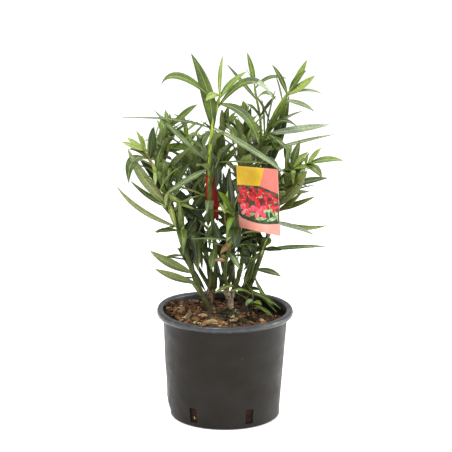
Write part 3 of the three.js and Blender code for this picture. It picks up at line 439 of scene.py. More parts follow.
# The printed fields: where three of them meet, the heights of their edges at the card's sides, and where the
# upper two part at its top. The picture's height and the foot band are measured from the card's foot.
FIELDS = {"meet": (4, 22), "left": 18, "right": 14, "part": 14, "picture": 88}
FOOT_BAND = {"right": 19, "left": 23, "bow": 6, "dip": 0.9, "layer": 28}
RING = {"clear": 0.5, "half_wall": 0.4, "height": 1.6, "steps": 28}
STRAP = {"width": 4, "thick": 0.8}
# The strip's fold is where its painted light gives way to its painted shade.
STRIP = {"height": 82, "radius": 11, "from": 10, "to": 130, "thick": 0.9, "ring_share": 0.635,
         "foot_share": 0.21, "fold": 2, "above": 2, "ragged": 5, "ragged_from": 0.8, "teeth": (40, 17)}
TIE_SHARE = 0.686  # along the leader
TIE = {"clear": 0.9, "half_wall": 0.6, "tail": (5, -2, 2), "rise": 3, "radius": 0.8}

# Stage, lamps and camera

FLOOR_AT = -0.0005  # metres
DAYLIGHT = 0.74
# Lamps, in metres and watts: (name, place, size, power)
LAMPS = [
    ("key", (-0.72, -1.35, 1.9), (1.0, 0.9), 46),
    ("side", (1.7, 0, 0.55), (0.9, 1.3), 27),
    ("above", (0.2, 0.4, 2.1), (1.4, 1.4), 29),
]
LAMPS_FACE = (0, 0, 0.3)
# In millimetres and degrees, and its focal length in pixels of the photograph
CAMERA = {"at": (1.65, -2873.7, 968.85), "down": 12.71, "focal": 1800, "frame": 452, "sensor": 36}


# Colours and finishes

def shade(code):
    """A colour written as six hexadecimal digits, in the linear values that shaders take."""
    parts = [int(code[i:i + 2], 16) / 255 for i in (0, 2, 4)]
    linear = [p / 12.92 if p <= 0.04045 else ((p + 0.055) / 1.055) ** 2.4 for p in parts]
    return (*linear, 1)


EVEN = (1, 1, 1)
USUAL_NOISE = (0.3, 0.7)  # between these lie most values of a noise
STEM_HEIGHTS = (170, 570)


def grain(tree, size, detail=3, stretch=EVEN, start=0):
    """Noise in patches of about size millimetres, drawn out along the axes by stretch."""
    place = tree.nodes.new("ShaderNodeTexCoord")
    mapping = tree.nodes.new("ShaderNodeMapping")
    mapping.inputs["Scale"].default_value = [1 / (MM * size * s) for s in stretch]
    mapping.inputs["Location"].default_value = (start, start, start)
    texture = tree.nodes.new("ShaderNodeTexNoise")
    texture.inputs["Scale"].default_value = 1
    texture.inputs["Detail"].default_value = detail
    tree.links.new(place.outputs["Object"], mapping.inputs["Vector"])
    tree.links.new(mapping.outputs["Vector"], texture.inputs["Vector"])
    return texture.outputs["Fac"]


def height_share(tree, low, high):
    """0 at a height of low millimetres and 1 at high."""
    place = tree.nodes.new("ShaderNodeTexCoord")
    parts = tree.nodes.new("ShaderNodeSeparateXYZ")
    share = tree.nodes.new("ShaderNodeMapRange")
    share.inputs["From Min"].default_value = low * MM
    share.inputs["From Max"].default_value = high * MM
    tree.links.new(place.outputs["Object"], parts.inputs["Vector"])
    tree.links.new(parts.outputs["Z"], share.inputs["Value"])
    return share.outputs["Result"]


def ramp(tree, value, *stops):
    """Colours along a value; a stop is (place, colour code)."""
    node = tree.nodes.new("ShaderNodeValToRGB")
    points = node.color_ramp.elements
    while len(points) < len(stops):
        points.new(0.5)
    for point, (place, code) in zip(points, stops):
        point.position = place
        point.color = shade(code)
    tree.links.new(value, node.inputs["Fac"])
    return node.outputs["Color"]


def blended(tree, share, first, second, way):
    """Two colours laid over each other in one of Blender's ways, by a share."""
    node = tree.nodes.new("ShaderNodeMix")
    node.data_type = "RGBA"
    node.blend_type = way
    node.inputs[0].default_value = share
    tree.links.new(first, node.inputs[6])
    tree.links.new(second, node.inputs[7])
    return node.outputs[2]


def spread_between(tree, value, low, high):
    """The usual values of a noise brought to the range from low to high."""
    node = tree.nodes.new("ShaderNodeMapRange")
    ends = {"From Min": USUAL_NOISE[0], "From Max": USUAL_NOISE[1], "To Min": low, "To Max": high}
    for socket, end in ends.items():
        node.inputs[socket].default_value = end
    tree.links.new(value, node.inputs["Value"])
    return node.outputs["Result"]


def relief(tree, shader, height, depth):
    """Bumps of a depth in millimetres, laid on those that the shader has."""
    node = tree.nodes.new("ShaderNodeBump")
    node.inputs["Strength"].default_value = 1
    node.inputs["Distance"].default_value = depth * MM
    tree.links.new(height, node.inputs["Height"])
    if shader.inputs["Normal"].is_linked:
        tree.links.new(shader.inputs["Normal"].links[0].from_socket, node.inputs["Normal"])
    tree.links.new(node.outputs["Normal"], shader.inputs["Normal"])


def grained(name, roughness, layers, bumps, rough=None, by_height=(), **sockets):
    """A finish painted in layers of grain. A layer is (grain, stops), and one that lies on others also has
    its share and its way. A bump is (grain, depth), and rough is (grain, least, most), for a roughness that
    varies. by_height gives the stops of a first colour that changes up the stem."""
    finish = bpy.data.materials.new(name)
    finish.use_nodes = True
    tree = finish.node_tree
    shader = tree.nodes["Principled BSDF"]
    for socket, value in {"Roughness": roughness, **sockets}.items():
        shader.inputs[socket.replace("_", " ")].default_value = value
    colour = ramp(tree, height_share(tree, *STEM_HEIGHTS), *by_height) if by_height else None
    for values, stops, *laid in layers:
        paint = ramp(tree, grain(tree, *values), *stops)
        colour = blended(tree, laid[0], colour, paint, laid[1]) if laid else paint
    tree.links.new(colour, shader.inputs["Base Color"])
    if rough:
        values, least, most = rough
        tree.links.new(spread_between(tree, grain(tree, *values), least, most), shader.inputs["Roughness"])
    for values, depth in bumps:
        relief(tree, shader, grain(tree, *values), depth)
    return finish


def leaf_finish(name, dark, light, roughness):
    """Leathery leaf: a slow change of shade from leaf to leaf, mottling, and the fine side veins as bumps."""
    layers = [((34, 1), ((0.35, dark), (0.65, light))),
              ((3.5, 2, EVEN, 5), ((0.3, "c9c9c9"), (0.7, "ffffff")), 1, "MULTIPLY")]
    return grained(name, roughness, layers, [((1.6, 2, EVEN, 3), 0.12)],
                   ((9, 2, EVEN, 9), roughness - 0.07, roughness + 0.1), Specular_IOR_Level=0.32)


def leaf_finishes():
    """Blade and rib of every tone for the upper side, then the same for the underside."""
    # A tone's colours: the blade's dark and light, its rib, and the underside's blade and rib
    tones = {
        # deep_shaded is the dark green of older leaves, made darker as painted shade for leaves inside the
        # crown and under the labels.
        "deep_shaded": ("212c10", "364519", "536330", "55643a", "6f8048"),
        "mature": ("394a17", "5a6c27", "8c9f55", "6e7c40", "919e60"),
        "fresh": ("556c20", "748b32", "9fb05a", "7a8a46", "a2ae64"),
        "bright": ("4a6614", "5e7e20", "8ca244", "647e34", "84984c"),
        "young": ("73853a", "90a24e", "b0bd74", "8f9e5c", "aeb97c"),
        # silver_sheen is a paler grey-green that paints the sheen of light reflected from glossy leaves: a
        # painted sheen.
        "silver_sheen": ("586a40", "7a8b5a", "aeb888", "818b66", "a0a87e"),
        "pale": ("82926e", "9cac8a", "bac4a6", "96a482", "aeba9a"),
        "olive": ("65722d", "808a44", "a7b26c", "717c48", "98a268"),
        "withered": ("6f4e28", "9a7444", "b08c5c", "80603a", "a08050"),
    }
    kinds = (("leaf", 0, 1, 0.42), ("rib", 2, 2, 0.45), ("underside", 3, 3, 0.6), ("under_rib", 4, 4, 0.55))
    return [leaf_finish(f"{kind}_{tone}", tones[tone][dark], tones[tone][light], roughness)
            for kind, dark, light, roughness in kinds for tone in TONES]


def stem_finish(name, *stops):
    """Smooth young bark that greens with height, with pale pores and darker streaks."""
    layers = [((2.2, 4, (1, 1, 7)), ((0.3, "8c8478"), (0.62, "ffffff")), 0.75, "MULTIPLY"),
              ((1.1, 1, EVEN, 7), ((0.62, "ffffff"), (0.72, "d8cdb2")), 0.6, "MULTIPLY")]
    bumps = [((1.8, 4, (1, 1, 5), 2), 0.35)]
    return grained(name, 0.6, layers, bumps, by_height=stops, Specular_IOR_Level=0.22)


def wood_finish(name, dark, middle, pale):
    """Old bark of a stump: furrowed along its length, with pale ridges."""
    furrows = (2.6, 5, (1, 1, 4))
    layers = [((9, 3, EVEN, 4), ((0.35, middle), (0.65, pale))),
              (furrows, ((0.38, dark), (0.55, "ffffff")), 0.8, "MULTIPLY")]
    return grained(name, 0.85, layers, [(furrows, 1.1), ((0.9, 3, EVEN, 6), 0.3)], Specular_IOR_Level=0.25)


def chip_finish(name, dark, light):
    """Bark or wood chip: fibres and stains."""
    layers = [((5, 4), ((0.3, dark), (0.7, light))),
              ((1.3, 3, (1, 3, 1), 8), ((0.35, "9a8c80"), (0.6, "ffffff")), 0.8, "MULTIPLY")]
    return grained(name, 0.9, layers, [((1.2, 4, (1, 3, 1), 8), 0.5)], Specular_IOR_Level=0.2)


def pot_finish():
    """Moulded charcoal plastic: faint flow marks, fine scratches, dusty scuffs."""
    layers = [((60, 2, (1, 1, 0.6)), ((0.35, "191510"), (0.65, "201d19"))),
              ((5, 6, EVEN, 11), ((0.73, "000000"), (0.8, "5a574f")), 0.6, "ADD"),
              ((1.4, 2, (9, 9, 0.6), 17), ((0.7, "000000"), (0.8, "1c1c1c")), 0.5, "ADD")]
    bumps = [((45, 2, (1, 1, 0.5), 19), 1.2), ((0.9, 2, EVEN, 23), 0.04)]
    rough = ((22, 4, EVEN, 13), 0.36, 0.52)
    return grained("charcoal_plastic", 0.4, layers, bumps, rough, Specular_IOR_Level=0.14)


def rim_finish():
    """The lip's plastic, rubbed smooth, with dull patches, painted lighter than the wall as a painted
    highlight.
    """
    layers = [((14, 4, EVEN, 3), ((0.35, "252526"), (0.6, "333436"), (0.75, "565248")))]
    return grained("rubbed_rim_painted_highlight", 0.3, layers, [((16, 3, EVEN, 7), 0.6)], ((9, 4, EVEN, 5), 0.24, 0.5))


def soil_finish():
    """Damp peaty ground under the chips."""
    layers = [((3, 6), ((0.3, "0d0905"), (0.6, "2c1c10"), (0.8, "4a321c")))]
    return grained("peat", 0.95, layers, [((3, 6), 2.2)], Specular_IOR_Level=0.15)


def moss_finish():
    """Dark green moss."""
    layers = [((1.6, 5), ((0.3, "12180a"), (0.55, "262f14"), (0.75, "4a5224")))]
    return grained("moss", 0.9, layers, [((1.6, 5), 1.2)])


def print_finish(name, first, second, size):
    """Printed coated card: two close inks that drift into each other under a thin gloss."""
    return grained(name, 0.45, [((size, 2), ((0.4, first), (0.6, second)))], [((30, 1, EVEN, 2), 0.4)],
                   Specular_IOR_Level=0.25, Coat_Weight=0.1, Coat_Roughness=0.3)


def plastic_finish(name, first, second, roughness):
    """Thin coloured plastic with slight waves."""
    return grained(name, roughness, [((18, 2), ((0.4, first), (0.6, second)))], [((8, 2, EVEN, 4), 0.3)])


# Finished pieces

def paint(verts, slot):
    """Gives the faces round some points a finish."""
    for face in {face for v in verts for face in v.link_faces}:
        face.material_index = slot


def finished(name, bm, finishes, smooth=True, parts=()):
    """Turns a bmesh in millimetres into a piece in metres that rides on the plant and stands for nodes."""
    bmesh.ops.scale(bm, vec=(MM, MM, MM), verts=bm.verts)
    mesh = bpy.data.meshes.new(name)
    bm.to_mesh(mesh)
    bm.free()
    for finish in finishes:
        mesh.materials.append(finish)
    mesh.polygons.foreach_set("use_smooth", [smooth] * len(mesh.polygons))
    piece = bpy.data.objects.new(name, mesh)
    bpy.context.scene.collection.objects.link(piece)
    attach(piece, "root")
    if parts:
        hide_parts(*parts)
    return piece


# Routes

def soil_top(x, y):
    return SOIL_LEVEL + SOIL_SLOPE_X * x + SOIL_SLOPE_Y * y


def even_shares(first, last, count):
    return [first + (last - first) * i / (count - 1) for i in range(count)]


def point_along(route, share):
    """The route's four points lie at a third of its length from each other."""
    knots = (0, 1 / 3, 2 / 3, 1)
    point = Vector()
    for i, at in enumerate(route):
        weight = 1
        for j, knot in enumerate(knots):
            if j != i:
                weight *= (share - knot) / (knots[i] - knot)
        point += Vector(at) * weight
    return point


def axis_along(route, share):
    step = 0.001
    return (point_along(route, share + step) - point_along(route, share - step)).normalized()


def radius_along(shoot, share):
    return shoot["radii"][0] + (shoot["radii"][1] - shoot["radii"][0]) * share


def crossing(axis):
    """Two directions across an axis that is more upright than level."""
    across = Vector((0, 1, 0)).cross(axis).normalized()
    return across, axis.cross(across)


def across_matrix(centre, axis):
    """The place of a shape that is drawn round the Z axis, with that axis turned along another."""
    return Matrix.Translation(centre) @ Matrix((*crossing(axis), axis)).transposed().to_4x4()


def seeded_random(seed):
    """A generator of shares from 0 to 1, the same each run."""
    state = seed
    while True:
        state = state * 16807 % 2147483647
        yield state / 2147483647


def set_feet():
    """Feet stand on a stump or on the soil, and a fork starts on its parent's axis."""
    for shoot in SHOOTS.values():
        foot = shoot["route"][0]
        if "fork_of" in shoot:
            start = point_along(SHOOTS[shoot["fork_of"]]["route"], shoot["fork_at"])
        else:
            on = shoot["on"]
            start = (foot[0], foot[1], soil_top(foot[0], foot[1]) if on == "soil" else STUMPS[on]["top"])
        shoot["route"][0] = tuple(start)


# Limbs

def limb(bm, stations, sides, finish_at=lambda number: 0):
    """A tapering limb: a disc whose rim is extruded from station to station, closed by another disc.
    A station is (centre, axis, radius)."""
    rim = bmesh.ops.create_circle(bm, cap_ends=True, segments=sides, radius=1)["verts"]
    edges = rim[0].link_faces[0].edges[:]
    old = Matrix.Identity(4)
    for number, (centre, axis, radius) in enumerate(stations):
        if number:
            made = bmesh.ops.extrude_edge_only(bm, edges=edges)["geom"]
            rim = [item for item in made if isinstance(item, bmesh.types.BMVert)]
            inside = set(rim)
            edges = [e for e in made if isinstance(e, bmesh.types.BMEdge) and inside.issuperset(e.verts)]
            for item in made:
                if isinstance(item, bmesh.types.BMFace):
                    item.material_index = finish_at(number)
        new = across_matrix(centre, axis) @ Matrix.Scale(radius, 4)
        bmesh.ops.transform(bm, matrix=new @ old.inverted(), verts=rim)
        old = new
    bmesh.ops.holes_fill(bm, edges=edges)


def roughened(bm, size, depth, start=0):
    """Moves every point out or in by noise in patches of size millimetres."""
    bmesh.ops.recalc_face_normals(bm, faces=bm.faces)
    bm.normal_update()
    for v in bm.verts:
        v.co += v.normal * depth * noise.noise(v.co / size + Vector((start, start, start)))


def shoot_stations(shoot, first, last, spacing):
    """Stations along part of a shoot, swollen a little at each whorl and drawn in at the tip."""
    route = shoot["route"]
    length = (Vector(route[0]) - Vector(route[3])).length
    count = max(3, round((last - first) * length / spacing))
    stations = []
    for i in range(count + 1):
        share = first + (last - first) * i / count
        radius = radius_along(shoot, share)
        radius *= 1 + GIRTH["foot"] * max(0, 1 - share / GIRTH["foot_share"])
        ring = max(0, cos(2 * pi * share * length / GIRTH["apart"])) ** GIRTH["sharp"]
        radius *= 1 + GIRTH["whorl"] * ring
        radius *= min(1, GIRTH["tip"] + (1 - share) / GIRTH["tip_share"])
        stations.append((point_along(route, share), axis_along(route, share), radius))
    return stations


def make_boughs(finishes):
    """The bare lower stems, one limb each, with bark relief."""
    bm = bmesh.new()
    names = [name for name, shoot in SHOOTS.items() if shoot["leafy_from"]]
    for name in names:
        shoot = SHOOTS[name]
        slot = 1 if name == "leader" else 0
        spacing, sides = RINGS["bough"]
        stations = shoot_stations(shoot, 0, shoot["leafy_from"], spacing)
        limb(bm, stations, sides, lambda number, slot=slot: slot)
    roughened(bm, *RELIEF["bough"])
    return finished("boughs", bm, finishes, parts=[f"stem_{name}" for name in names])


def make_twigs(side_twigs, finishes):
    """The leafy ends of the shoots and the fine side twigs."""
    bm = bmesh.new()
    spacing, sides = RINGS["leafy"]
    for name, shoot in SHOOTS.items():
        slot = TIP_BARK.get(name, 0)
        stations = shoot_stations(shoot, max(0, shoot["leafy_from"] - 0.01), 1, spacing)
        brown_from = len(stations) * BROWN_FROM if slot == 2 else 0
        limb(bm, stations, sides, lambda number, slot=slot, first=brown_from: slot if number >= first else 0)
    spacing, sides = RINGS["twig"]
    for twig in side_twigs:
        limb(bm, shoot_stations(twig, 0, 1, spacing), sides, lambda number: 2)
    roughened(bm, *RELIEF["twig"])
    return finished("twigs", bm, finishes)


def arm_stations(start, shoot, neck):
    """A stump's arm from its neck to the foot of a stem, round enough to blend into it."""
    foot = Vector(shoot["route"][0])
    axis = axis_along(shoot["route"], 0)
    end = foot + ARM["into"] * axis
    bend = foot - ARM["bend"] * axis
    radius = radius_along(shoot, 0) * ARM["foot"]
    stations = []
    for i in range(ARM["steps"] + 1):
        t = i / ARM["steps"]
        point = start * (1 - t) ** 2 + bend * 2 * t * (1 - t) + end * t * t
        along = ((bend - start) * (1 - t) + (end - bend) * t).normalized()
        stations.append((point, along, neck * ARM["neck"] * (1 - t) + radius * t))
    return stations


def make_stump(name, finish):
    """An old stump: a flared foot, a neck, and an arm for each stem, fused and furrowed."""
    stump = STUMPS[name]
    x, y = stump["at"]
    foot, neck = stump["radii"]
    ground = soil_top(x, y) - STUMP_SUNK
    rise = stump["top"] - ground
    # Shares of the stump's height, and its radii there
    outline = [(0, foot * 1.1), (0.12, foot * 0.9), (0.3, (foot + 2 * neck) / 3), (0.5, neck)]
    outline.append((0.66, neck * 0.95))
    upright = Vector((0, 0, 1))
    bm = bmesh.new()
    limb(bm, [(Vector((x, y, ground + rise * share)), upright, radius) for share, radius in outline],
         STUMP_SIDES)
    start = Vector((x, y, ground + rise * ARMS_FROM))
    for shoot in SHOOTS.values():
        if shoot.get("on") == name:
            limb(bm, arm_stations(start, shoot, neck), ARM["sides"])
    bmesh.ops.recalc_face_normals(bm, faces=bm.faces)
    piece = finished(f"old_stump_{name}", bm, [finish], parts=[f"stump_{name}"])
    fuse(piece, FUSED)
    bm = bmesh.new()
    bm.from_mesh(piece.data)
    bmesh.ops.scale(bm, vec=(1 / MM,) * 3, verts=bm.verts)
    for _ in range(3):
        smoothed(bm.verts, bm, 0.5)
    for relief_of, start in zip(RELIEF["stump"], (x, y)):
        roughened(bm, *relief_of, start=start)
    bmesh.ops.scale(bm, vec=(MM,) * 3, verts=bm.verts)
    bm.to_mesh(piece.data)
    bm.free()
    piece.data.polygons.foreach_set("use_smooth", [True] * len(piece.data.polygons))
    return piece


def smoothed(verts, bm, factor):
    bmesh.ops.smooth_vert(bm, verts=verts, factor=factor, use_axis_x=True, use_axis_y=True, use_axis_z=True)


def fuse(piece, voxel):
    """Makes one skin of a piece's overlapping limbs."""
    remesh = piece.modifiers.new("fuse", "REMESH")
    remesh.mode = "VOXEL"
    remesh.voxel_size = voxel * MM
    shown = piece.evaluated_get(bpy.context.evaluated_depsgraph_get())
    mesh = bpy.data.meshes.new_from_object(shown)
    finishes = list(piece.data.materials)
    piece.modifiers.clear()
    piece.data = mesh
    mesh.materials.clear()
    for finish in finishes:
        mesh.materials.append(finish)


# Where a leaf lies

def leaf_shape(base, row):
    """A leaf's directions and the three points that bend its midrib."""
    bearing, rise, turn = (radians(row[i]) for i in (1, 2, 6))
    length, arch = row[3], row[4]
    bows_at = row[8] if len(row) > 8 else BEND_AT
    level = cos(rise)
    chord = Vector((level * cos(bearing), level * sin(bearing), sin(rise)))
    up = Vector((-sin(rise) * cos(bearing), -sin(rise) * sin(bearing), level))
    sideways = chord.cross(up)
    if sideways.y > 0:
        sideways.negate()
    face = up * cos(turn) + sideways * sin(turn)
    bend = base + bows_at * length * chord + 2 * arch * length * up
    return {"base": base, "bend": bend, "tip": base + length * chord, "side": chord.cross(face), "face": face,
            "length": length, "width": row[5]}


def midrib(leaf, share):
    return leaf["base"] * (1 - share) ** 2 + leaf["bend"] * 2 * share * (1 - share) + leaf["tip"] * share ** 2


def blade_width(share):
    """The half width of a lance-shaped blade along its length, as a share of its widest."""
    return max(0, sin(pi * min(1, share) ** LANCE["skew"])) ** LANCE["fullness"]


def leaf_points(leaf, skip):
    """Points spread over a leaf's blade, from outside its stem to its tip."""
    points = []
    along = ceil(leaf["length"] / SAMPLE_STEP)
    for i in range(along + 1):
        share = i / along
        if share * leaf["length"] < skip:
            continue
        half = leaf["width"] / 2 * blade_width(share)
        across = ceil(2 * half / SAMPLE_STEP)
        for j in range(across + 1):
            offset = half * (2 * j / across - 1) if across else 0
            points.append(midrib(leaf, share) + leaf["side"] * offset)
    return np.array([tuple(p) for p in points])


# The space already taken, cell by cell, with the number of the owner that took it

SPACE = np.zeros((260, 260, 340), np.int16)
SPACE_CORNER = np.array((-260, -260, 0))
NEIGHBOURS = np.array([(i, j, k) for i in (-1, 0, 1) for j in (-1, 0, 1) for k in (-1, 0, 1)])


def cells_of(points):
    return np.clip(np.floor((points - SPACE_CORNER) / CELL).astype(int), 1, np.array(SPACE.shape) - 2)


def claim(points, owner):
    cells = cells_of(points)
    SPACE[cells[:, 0], cells[:, 1], cells[:, 2]] = owner


def is_clear(points, owner, wide=True):
    """True if no other owner holds a cell of these points, or one beside it where wide is set."""
    cells = cells_of(points)
    for shift in NEIGHBOURS if wide else ((0, 0, 0),):
        near = cells + shift
        found = SPACE[near[:, 0], near[:, 1], near[:, 2]]
        if ((found != 0) & (found != owner)).any():
            return False
    return True


def clear_of_pot(points):
    for x, y, z in points:
        over_soil = hypot(x, y) < MOUTH_RADIUS - CLEAR["inside_pot"]
        over_soil = over_soil and z > soil_top(x, y) + CLEAR["above_soil"]
        if z <= POT_HEIGHT + CLEAR["above_pot"] and not over_soil:
            return False
    return True


def inside_crown(point):
    """The crown is an upside-down cone that draws in again at the top."""
    x, y, z = point
    below = min(1, max(0, (z - CROWN["low"]) / (CROWN["wide"] - CROWN["low"])))
    above = min(1, max(0, (z - CROWN["wide"]) / (CROWN["top"] - CROWN["wide"])))
    radius = CROWN["narrow"] + (CROWN["widest"] - CROWN["narrow"]) * below
    radius -= (CROWN["widest"] - CROWN["top_width"]) * above
    across = abs((x - CROWN["x"]) / radius) ** 3
    return across + abs((y - CROWN["y"]) / (radius * CROWN["depth"])) ** 3 < 1


def whorl_rows(shoot, counts=1):
    """The leaves of one shoot's whorls, as rows like those of the leaves that show."""
    random = seeded_random(shoot["seed"])
    first, last, count, reach = shoot["whorls"]
    count = round(count * counts)
    rows = []
    for w in range(count):
        share = first + (last - first) * w / (count - 1) if count > 1 else first
        axis = axis_along(shoot["route"], share)
        across, over = crossing(axis)
        start = WHORL["step"] * w + WHORL["start"] * next(random)
        young = min(1, max(0, (share - WHORL["young_from"]) / WHORL["young_over"]))
        for k in range(3):
            angle = radians(start + 120 * k + WHORL["stray"] * (next(random) - 0.5))
            spread = WHORL["spread"] - WHORL["closer"] * young + WHORL["spread_stray"] * (next(random) - 0.5)
            spread = radians(spread)
            length = reach * (1 - WHORL["shorter"] * young)
            length *= WHORL["length"][0] + WHORL["length"][1] * next(random)
            direction = axis * cos(spread) + across * (sin(spread) * cos(angle))
            direction += over * (sin(spread) * sin(angle))
            bearing = degrees(atan2(direction.y, direction.x))
            rise = degrees(asin(max(-1, min(1, direction.z))))
            arch = WHORL["arch"][0] + WHORL["arch"][1] * next(random)
            width = min(WHORL["widest"], WHORL["width"][0] + WHORL["width"][1] * length)
            rows.append((share, bearing, rise, length, arch, width, 0))
    return rows


# What the camera of the photograph sees, for the leaves placed one by one and for the places to keep clear

def camera_matrix():
    """Where the camera stands and how it is turned, in millimetres."""
    turn = Matrix.Rotation(radians(90 - CAMERA["down"]), 4, "X")
    return Matrix.Translation(CAMERA["at"]) @ turn


def seen_at(across, down, depth):
    """The point at a depth that is seen at a place in the photograph's frame."""
    half = CAMERA["frame"] / 2
    ray = camera_matrix().to_3x3() @ Vector((across - half, half - down, -CAMERA["focal"]))
    return Vector(CAMERA["at"]) + ray * ((depth - CAMERA["at"][1]) / ray.y)


def hides_sky(points):
    """True if more than a trace of these points is seen in one of the openings."""
    into = np.array(camera_matrix().inverted())
    local = points @ into[:3, :3].T + into[:3, 3]
    across = CAMERA["frame"] / 2 + CAMERA["focal"] * local[:, 0] / -local[:, 2]
    down = CAMERA["frame"] / 2 - CAMERA["focal"] * local[:, 1] / -local[:, 2]
    inside = sum(np.hypot(across - x, down - y) < radius for x, y, radius in OPENINGS)
    return int((inside > 0).sum()) > MOST_IN_OPENINGS


def near_rows(name):
    """The rows of a shoot's near leaves, worked out from where their tips are seen."""
    rows = []
    for share, across, down, depth, arch, width, turn, tone in NEAR_LEAVES.get(name, ()):
        span = seen_at(across, down, depth) - point_along(SHOOTS[name]["route"], share)
        bearing = degrees(atan2(span.y, span.x))
        rise = degrees(asin(span.z / span.length))
        rows.append((share, bearing, rise, span.length, arch, width, turn, tone))
    return rows


# Keep-out spaces in front of the labels, so that added leaves don't hide them

def card_matrix():
    """Where the card hangs and how it is turned, in millimetres."""
    yaw, pitch, tilt = (radians(CARD[turn]) for turn in ("yaw", "pitch", "tilt"))
    turn = Matrix.Rotation(yaw, 4, "Z") @ Matrix.Rotation(pitch, 4, "X")
    return Matrix.Translation(CARD["at"]) @ turn @ Matrix.Rotation(tilt, 4, "Y")


CARD_IN = np.array(card_matrix().inverted())
VIEW_FROM = np.array(CAMERA["at"])


def hides_label(points):
    """True if a point lies between the camera and the card or the strip."""
    ray = points - VIEW_FROM
    local = points @ CARD_IN[:3, :3].T + CARD_IN[:3, 3]
    start = CARD_IN[:3, :3] @ VIEW_FROM + CARD_IN[:3, 3]
    ahead = local[:, 1] < 0
    along = local - start
    reach = -start[1] / np.where(np.abs(along[:, 1]) < 1e-6, 1e-6, along[:, 1])
    hit = start + along * reach[:, None]
    within = (np.abs(hit[:, 0]) < CARD["width"] / 2) & (np.abs(hit[:, 2]) < CARD["height"] / 2)
    if (ahead & within).any():
        return True
    strip = point_along(SHOOTS["leader"]["route"], STRIP["ring_share"] - 0.1)
    share = (strip.y - VIEW_FROM[1]) / ray[:, 1]
    hit = VIEW_FROM + ray * share[:, None]
    near = np.abs(hit[:, 0] - strip.x) < STRIP["radius"]
    near &= np.abs(hit[:, 2] - strip.z) < STRIP["height"] / 2
    return bool(((points[:, 1] < strip.y) & near).any())


# Growing the leaves

OWNERS = {name: number + 1 for number, name in enumerate(SHOOTS)}
LIMBS = 100  # the owner of every stem, so that no leaf crosses one
LABELS = 101
QUARTERS = (0, 1.57, 3.14, 4.71)  # angles round a stem, in radians


def mass_of(name):
    """The mass that a shoot belongs to: its own, or that of the shoot it forks from."""
    return SHOOTS[name].get("fork_of", name)


def tone_at(row, chance):
    """A leaf's tone: its row's own, or the one for its place on the shoot."""
    if len(row) > 7:
        return row[7]
    share = row[0] + TONE_STRAY * (chance - 0.5)
    for limit, tone in TONES_FROM:
        if share > limit:
            return tone
    # Low on the shoot, inside the crown, most leaves take deep_shaded, a darker green that is painted shade.
    return "deep_shaded" if chance > MATURE_LOW else "mature"


def grow(shoot, row, mass, leaves, keep_to_crown=True, wide=True, keep_apart=True):
    """Adds a leaf to its mass unless it would leave its space."""
    leaf = leaf_shape(point_along(shoot["route"], row[0]), row)
    points = leaf_points(leaf, 3 + radius_along(shoot, row[0]) * SWELL)
    if keep_to_crown and (not inside_crown(leaf["tip"]) or hides_label(points) or hides_sky(points)):
        return
    if not clear_of_pot(points) or (keep_apart and not is_clear(points, OWNERS[mass], wide)):
        return
    claim(points, OWNERS[mass])
    leaves[mass].append((leaf, row))


def claim_limbs():
    """Stems take their space: bare parts from every leaf, leafy parts from other masses' leaves."""
    for name, shoot in SHOOTS.items():
        for share in even_shares(0, 1, 160):
            owner = LIMBS if share < shoot["leafy_from"] else OWNERS[mass_of(name)]
            centre = point_along(shoot["route"], share)
            across, over = crossing(axis_along(shoot["route"], share))
            radius = radius_along(shoot, share)
            skin = [centre + radius * (across * cos(a) + over * sin(a)) for a in QUARTERS]
            claim(np.array([tuple(p) for p in skin]), owner)


def claim_labels():
    """The card and the strip take their space from every leaf."""
    card = card_matrix()
    wide = np.arange(-CARD["width"] / 2, CARD["width"] / 2 + 1, 2)
    high = np.arange(-CARD["height"] / 2, CARD["height"] / 2 + 1, 2)
    claim(np.array([tuple(card @ Vector((x, 0, z))) for x in wide for z in high]), LABELS)
    radius = STRIP["radius"]
    angles = np.radians(np.arange(STRIP["from"], STRIP["to"], 8))
    for share in even_shares(STRIP["ring_share"] - STRIP["foot_share"], STRIP["ring_share"], 40):
        centre = point_along(SHOOTS["leader"]["route"], share)
        bent = [(centre.x + radius * cos(a), centre.y + radius * sin(a), centre.z) for a in angles]
        claim(np.array(bent), LABELS)


def side_twigs_of(shoot, random):
    """Short side twigs on a shoot, each a small shoot of its own with a few small leaves."""
    length_of, leaf_of = SIDE_TWIGS["length"], SIDE_TWIGS["leaf"]
    twigs = []
    for i in range(SIDE_TWIGS["count"]):
        along = (SIDE_TWIGS["last"] - SIDE_TWIGS["first"]) * (i + next(random)) / (SIDE_TWIGS["count"] + 1)
        share = SIDE_TWIGS["first"] + along
        axis = axis_along(shoot["route"], share)
        across, over = crossing(axis)
        angle = 2 * pi * next(random)
        out = across * cos(angle) + over * sin(angle)
        length = length_of[0] * (length_of[1] + length_of[2] * next(random))
        start = point_along(shoot["route"], share)
        along, aside = SIDE_TWIGS["leaves"]
        first = (axis * along + out * aside).normalized()
        along, aside, up = SIDE_TWIGS["ends"]
        last = (axis * along + out * aside + Vector((0, 0, up))).normalized()
        middle = start + first * length / 3
        upper = middle + (first + last).normalized() * length / 3
        route = [tuple(start), tuple(middle), tuple(upper), tuple(upper + last * length / 3)]
        seed = int(9000 * next(random)) + 3
        leaf_length = leaf_of[0] * (leaf_of[1] + leaf_of[2] * next(random))
        twigs.append({"route": route, "radii": SIDE_TWIGS["radii"], "seed": seed,
                      "whorls": (*SIDE_TWIGS["whorls"], leaf_length)})
    return twigs


def grow_shown(leaves):
    """The leaves that the photograph shows. Those that only this script has may touch others."""
    for name, shoot in SHOOTS.items():
        for row in shoot["leaves"]:
            grow(shoot, row, mass_of(name), leaves, keep_to_crown=False)
    for name, shoot in SHOOTS.items():
        for row in near_rows(name):
            grow(shoot, row, mass_of(name), leaves, keep_to_crown=False, keep_apart=False)


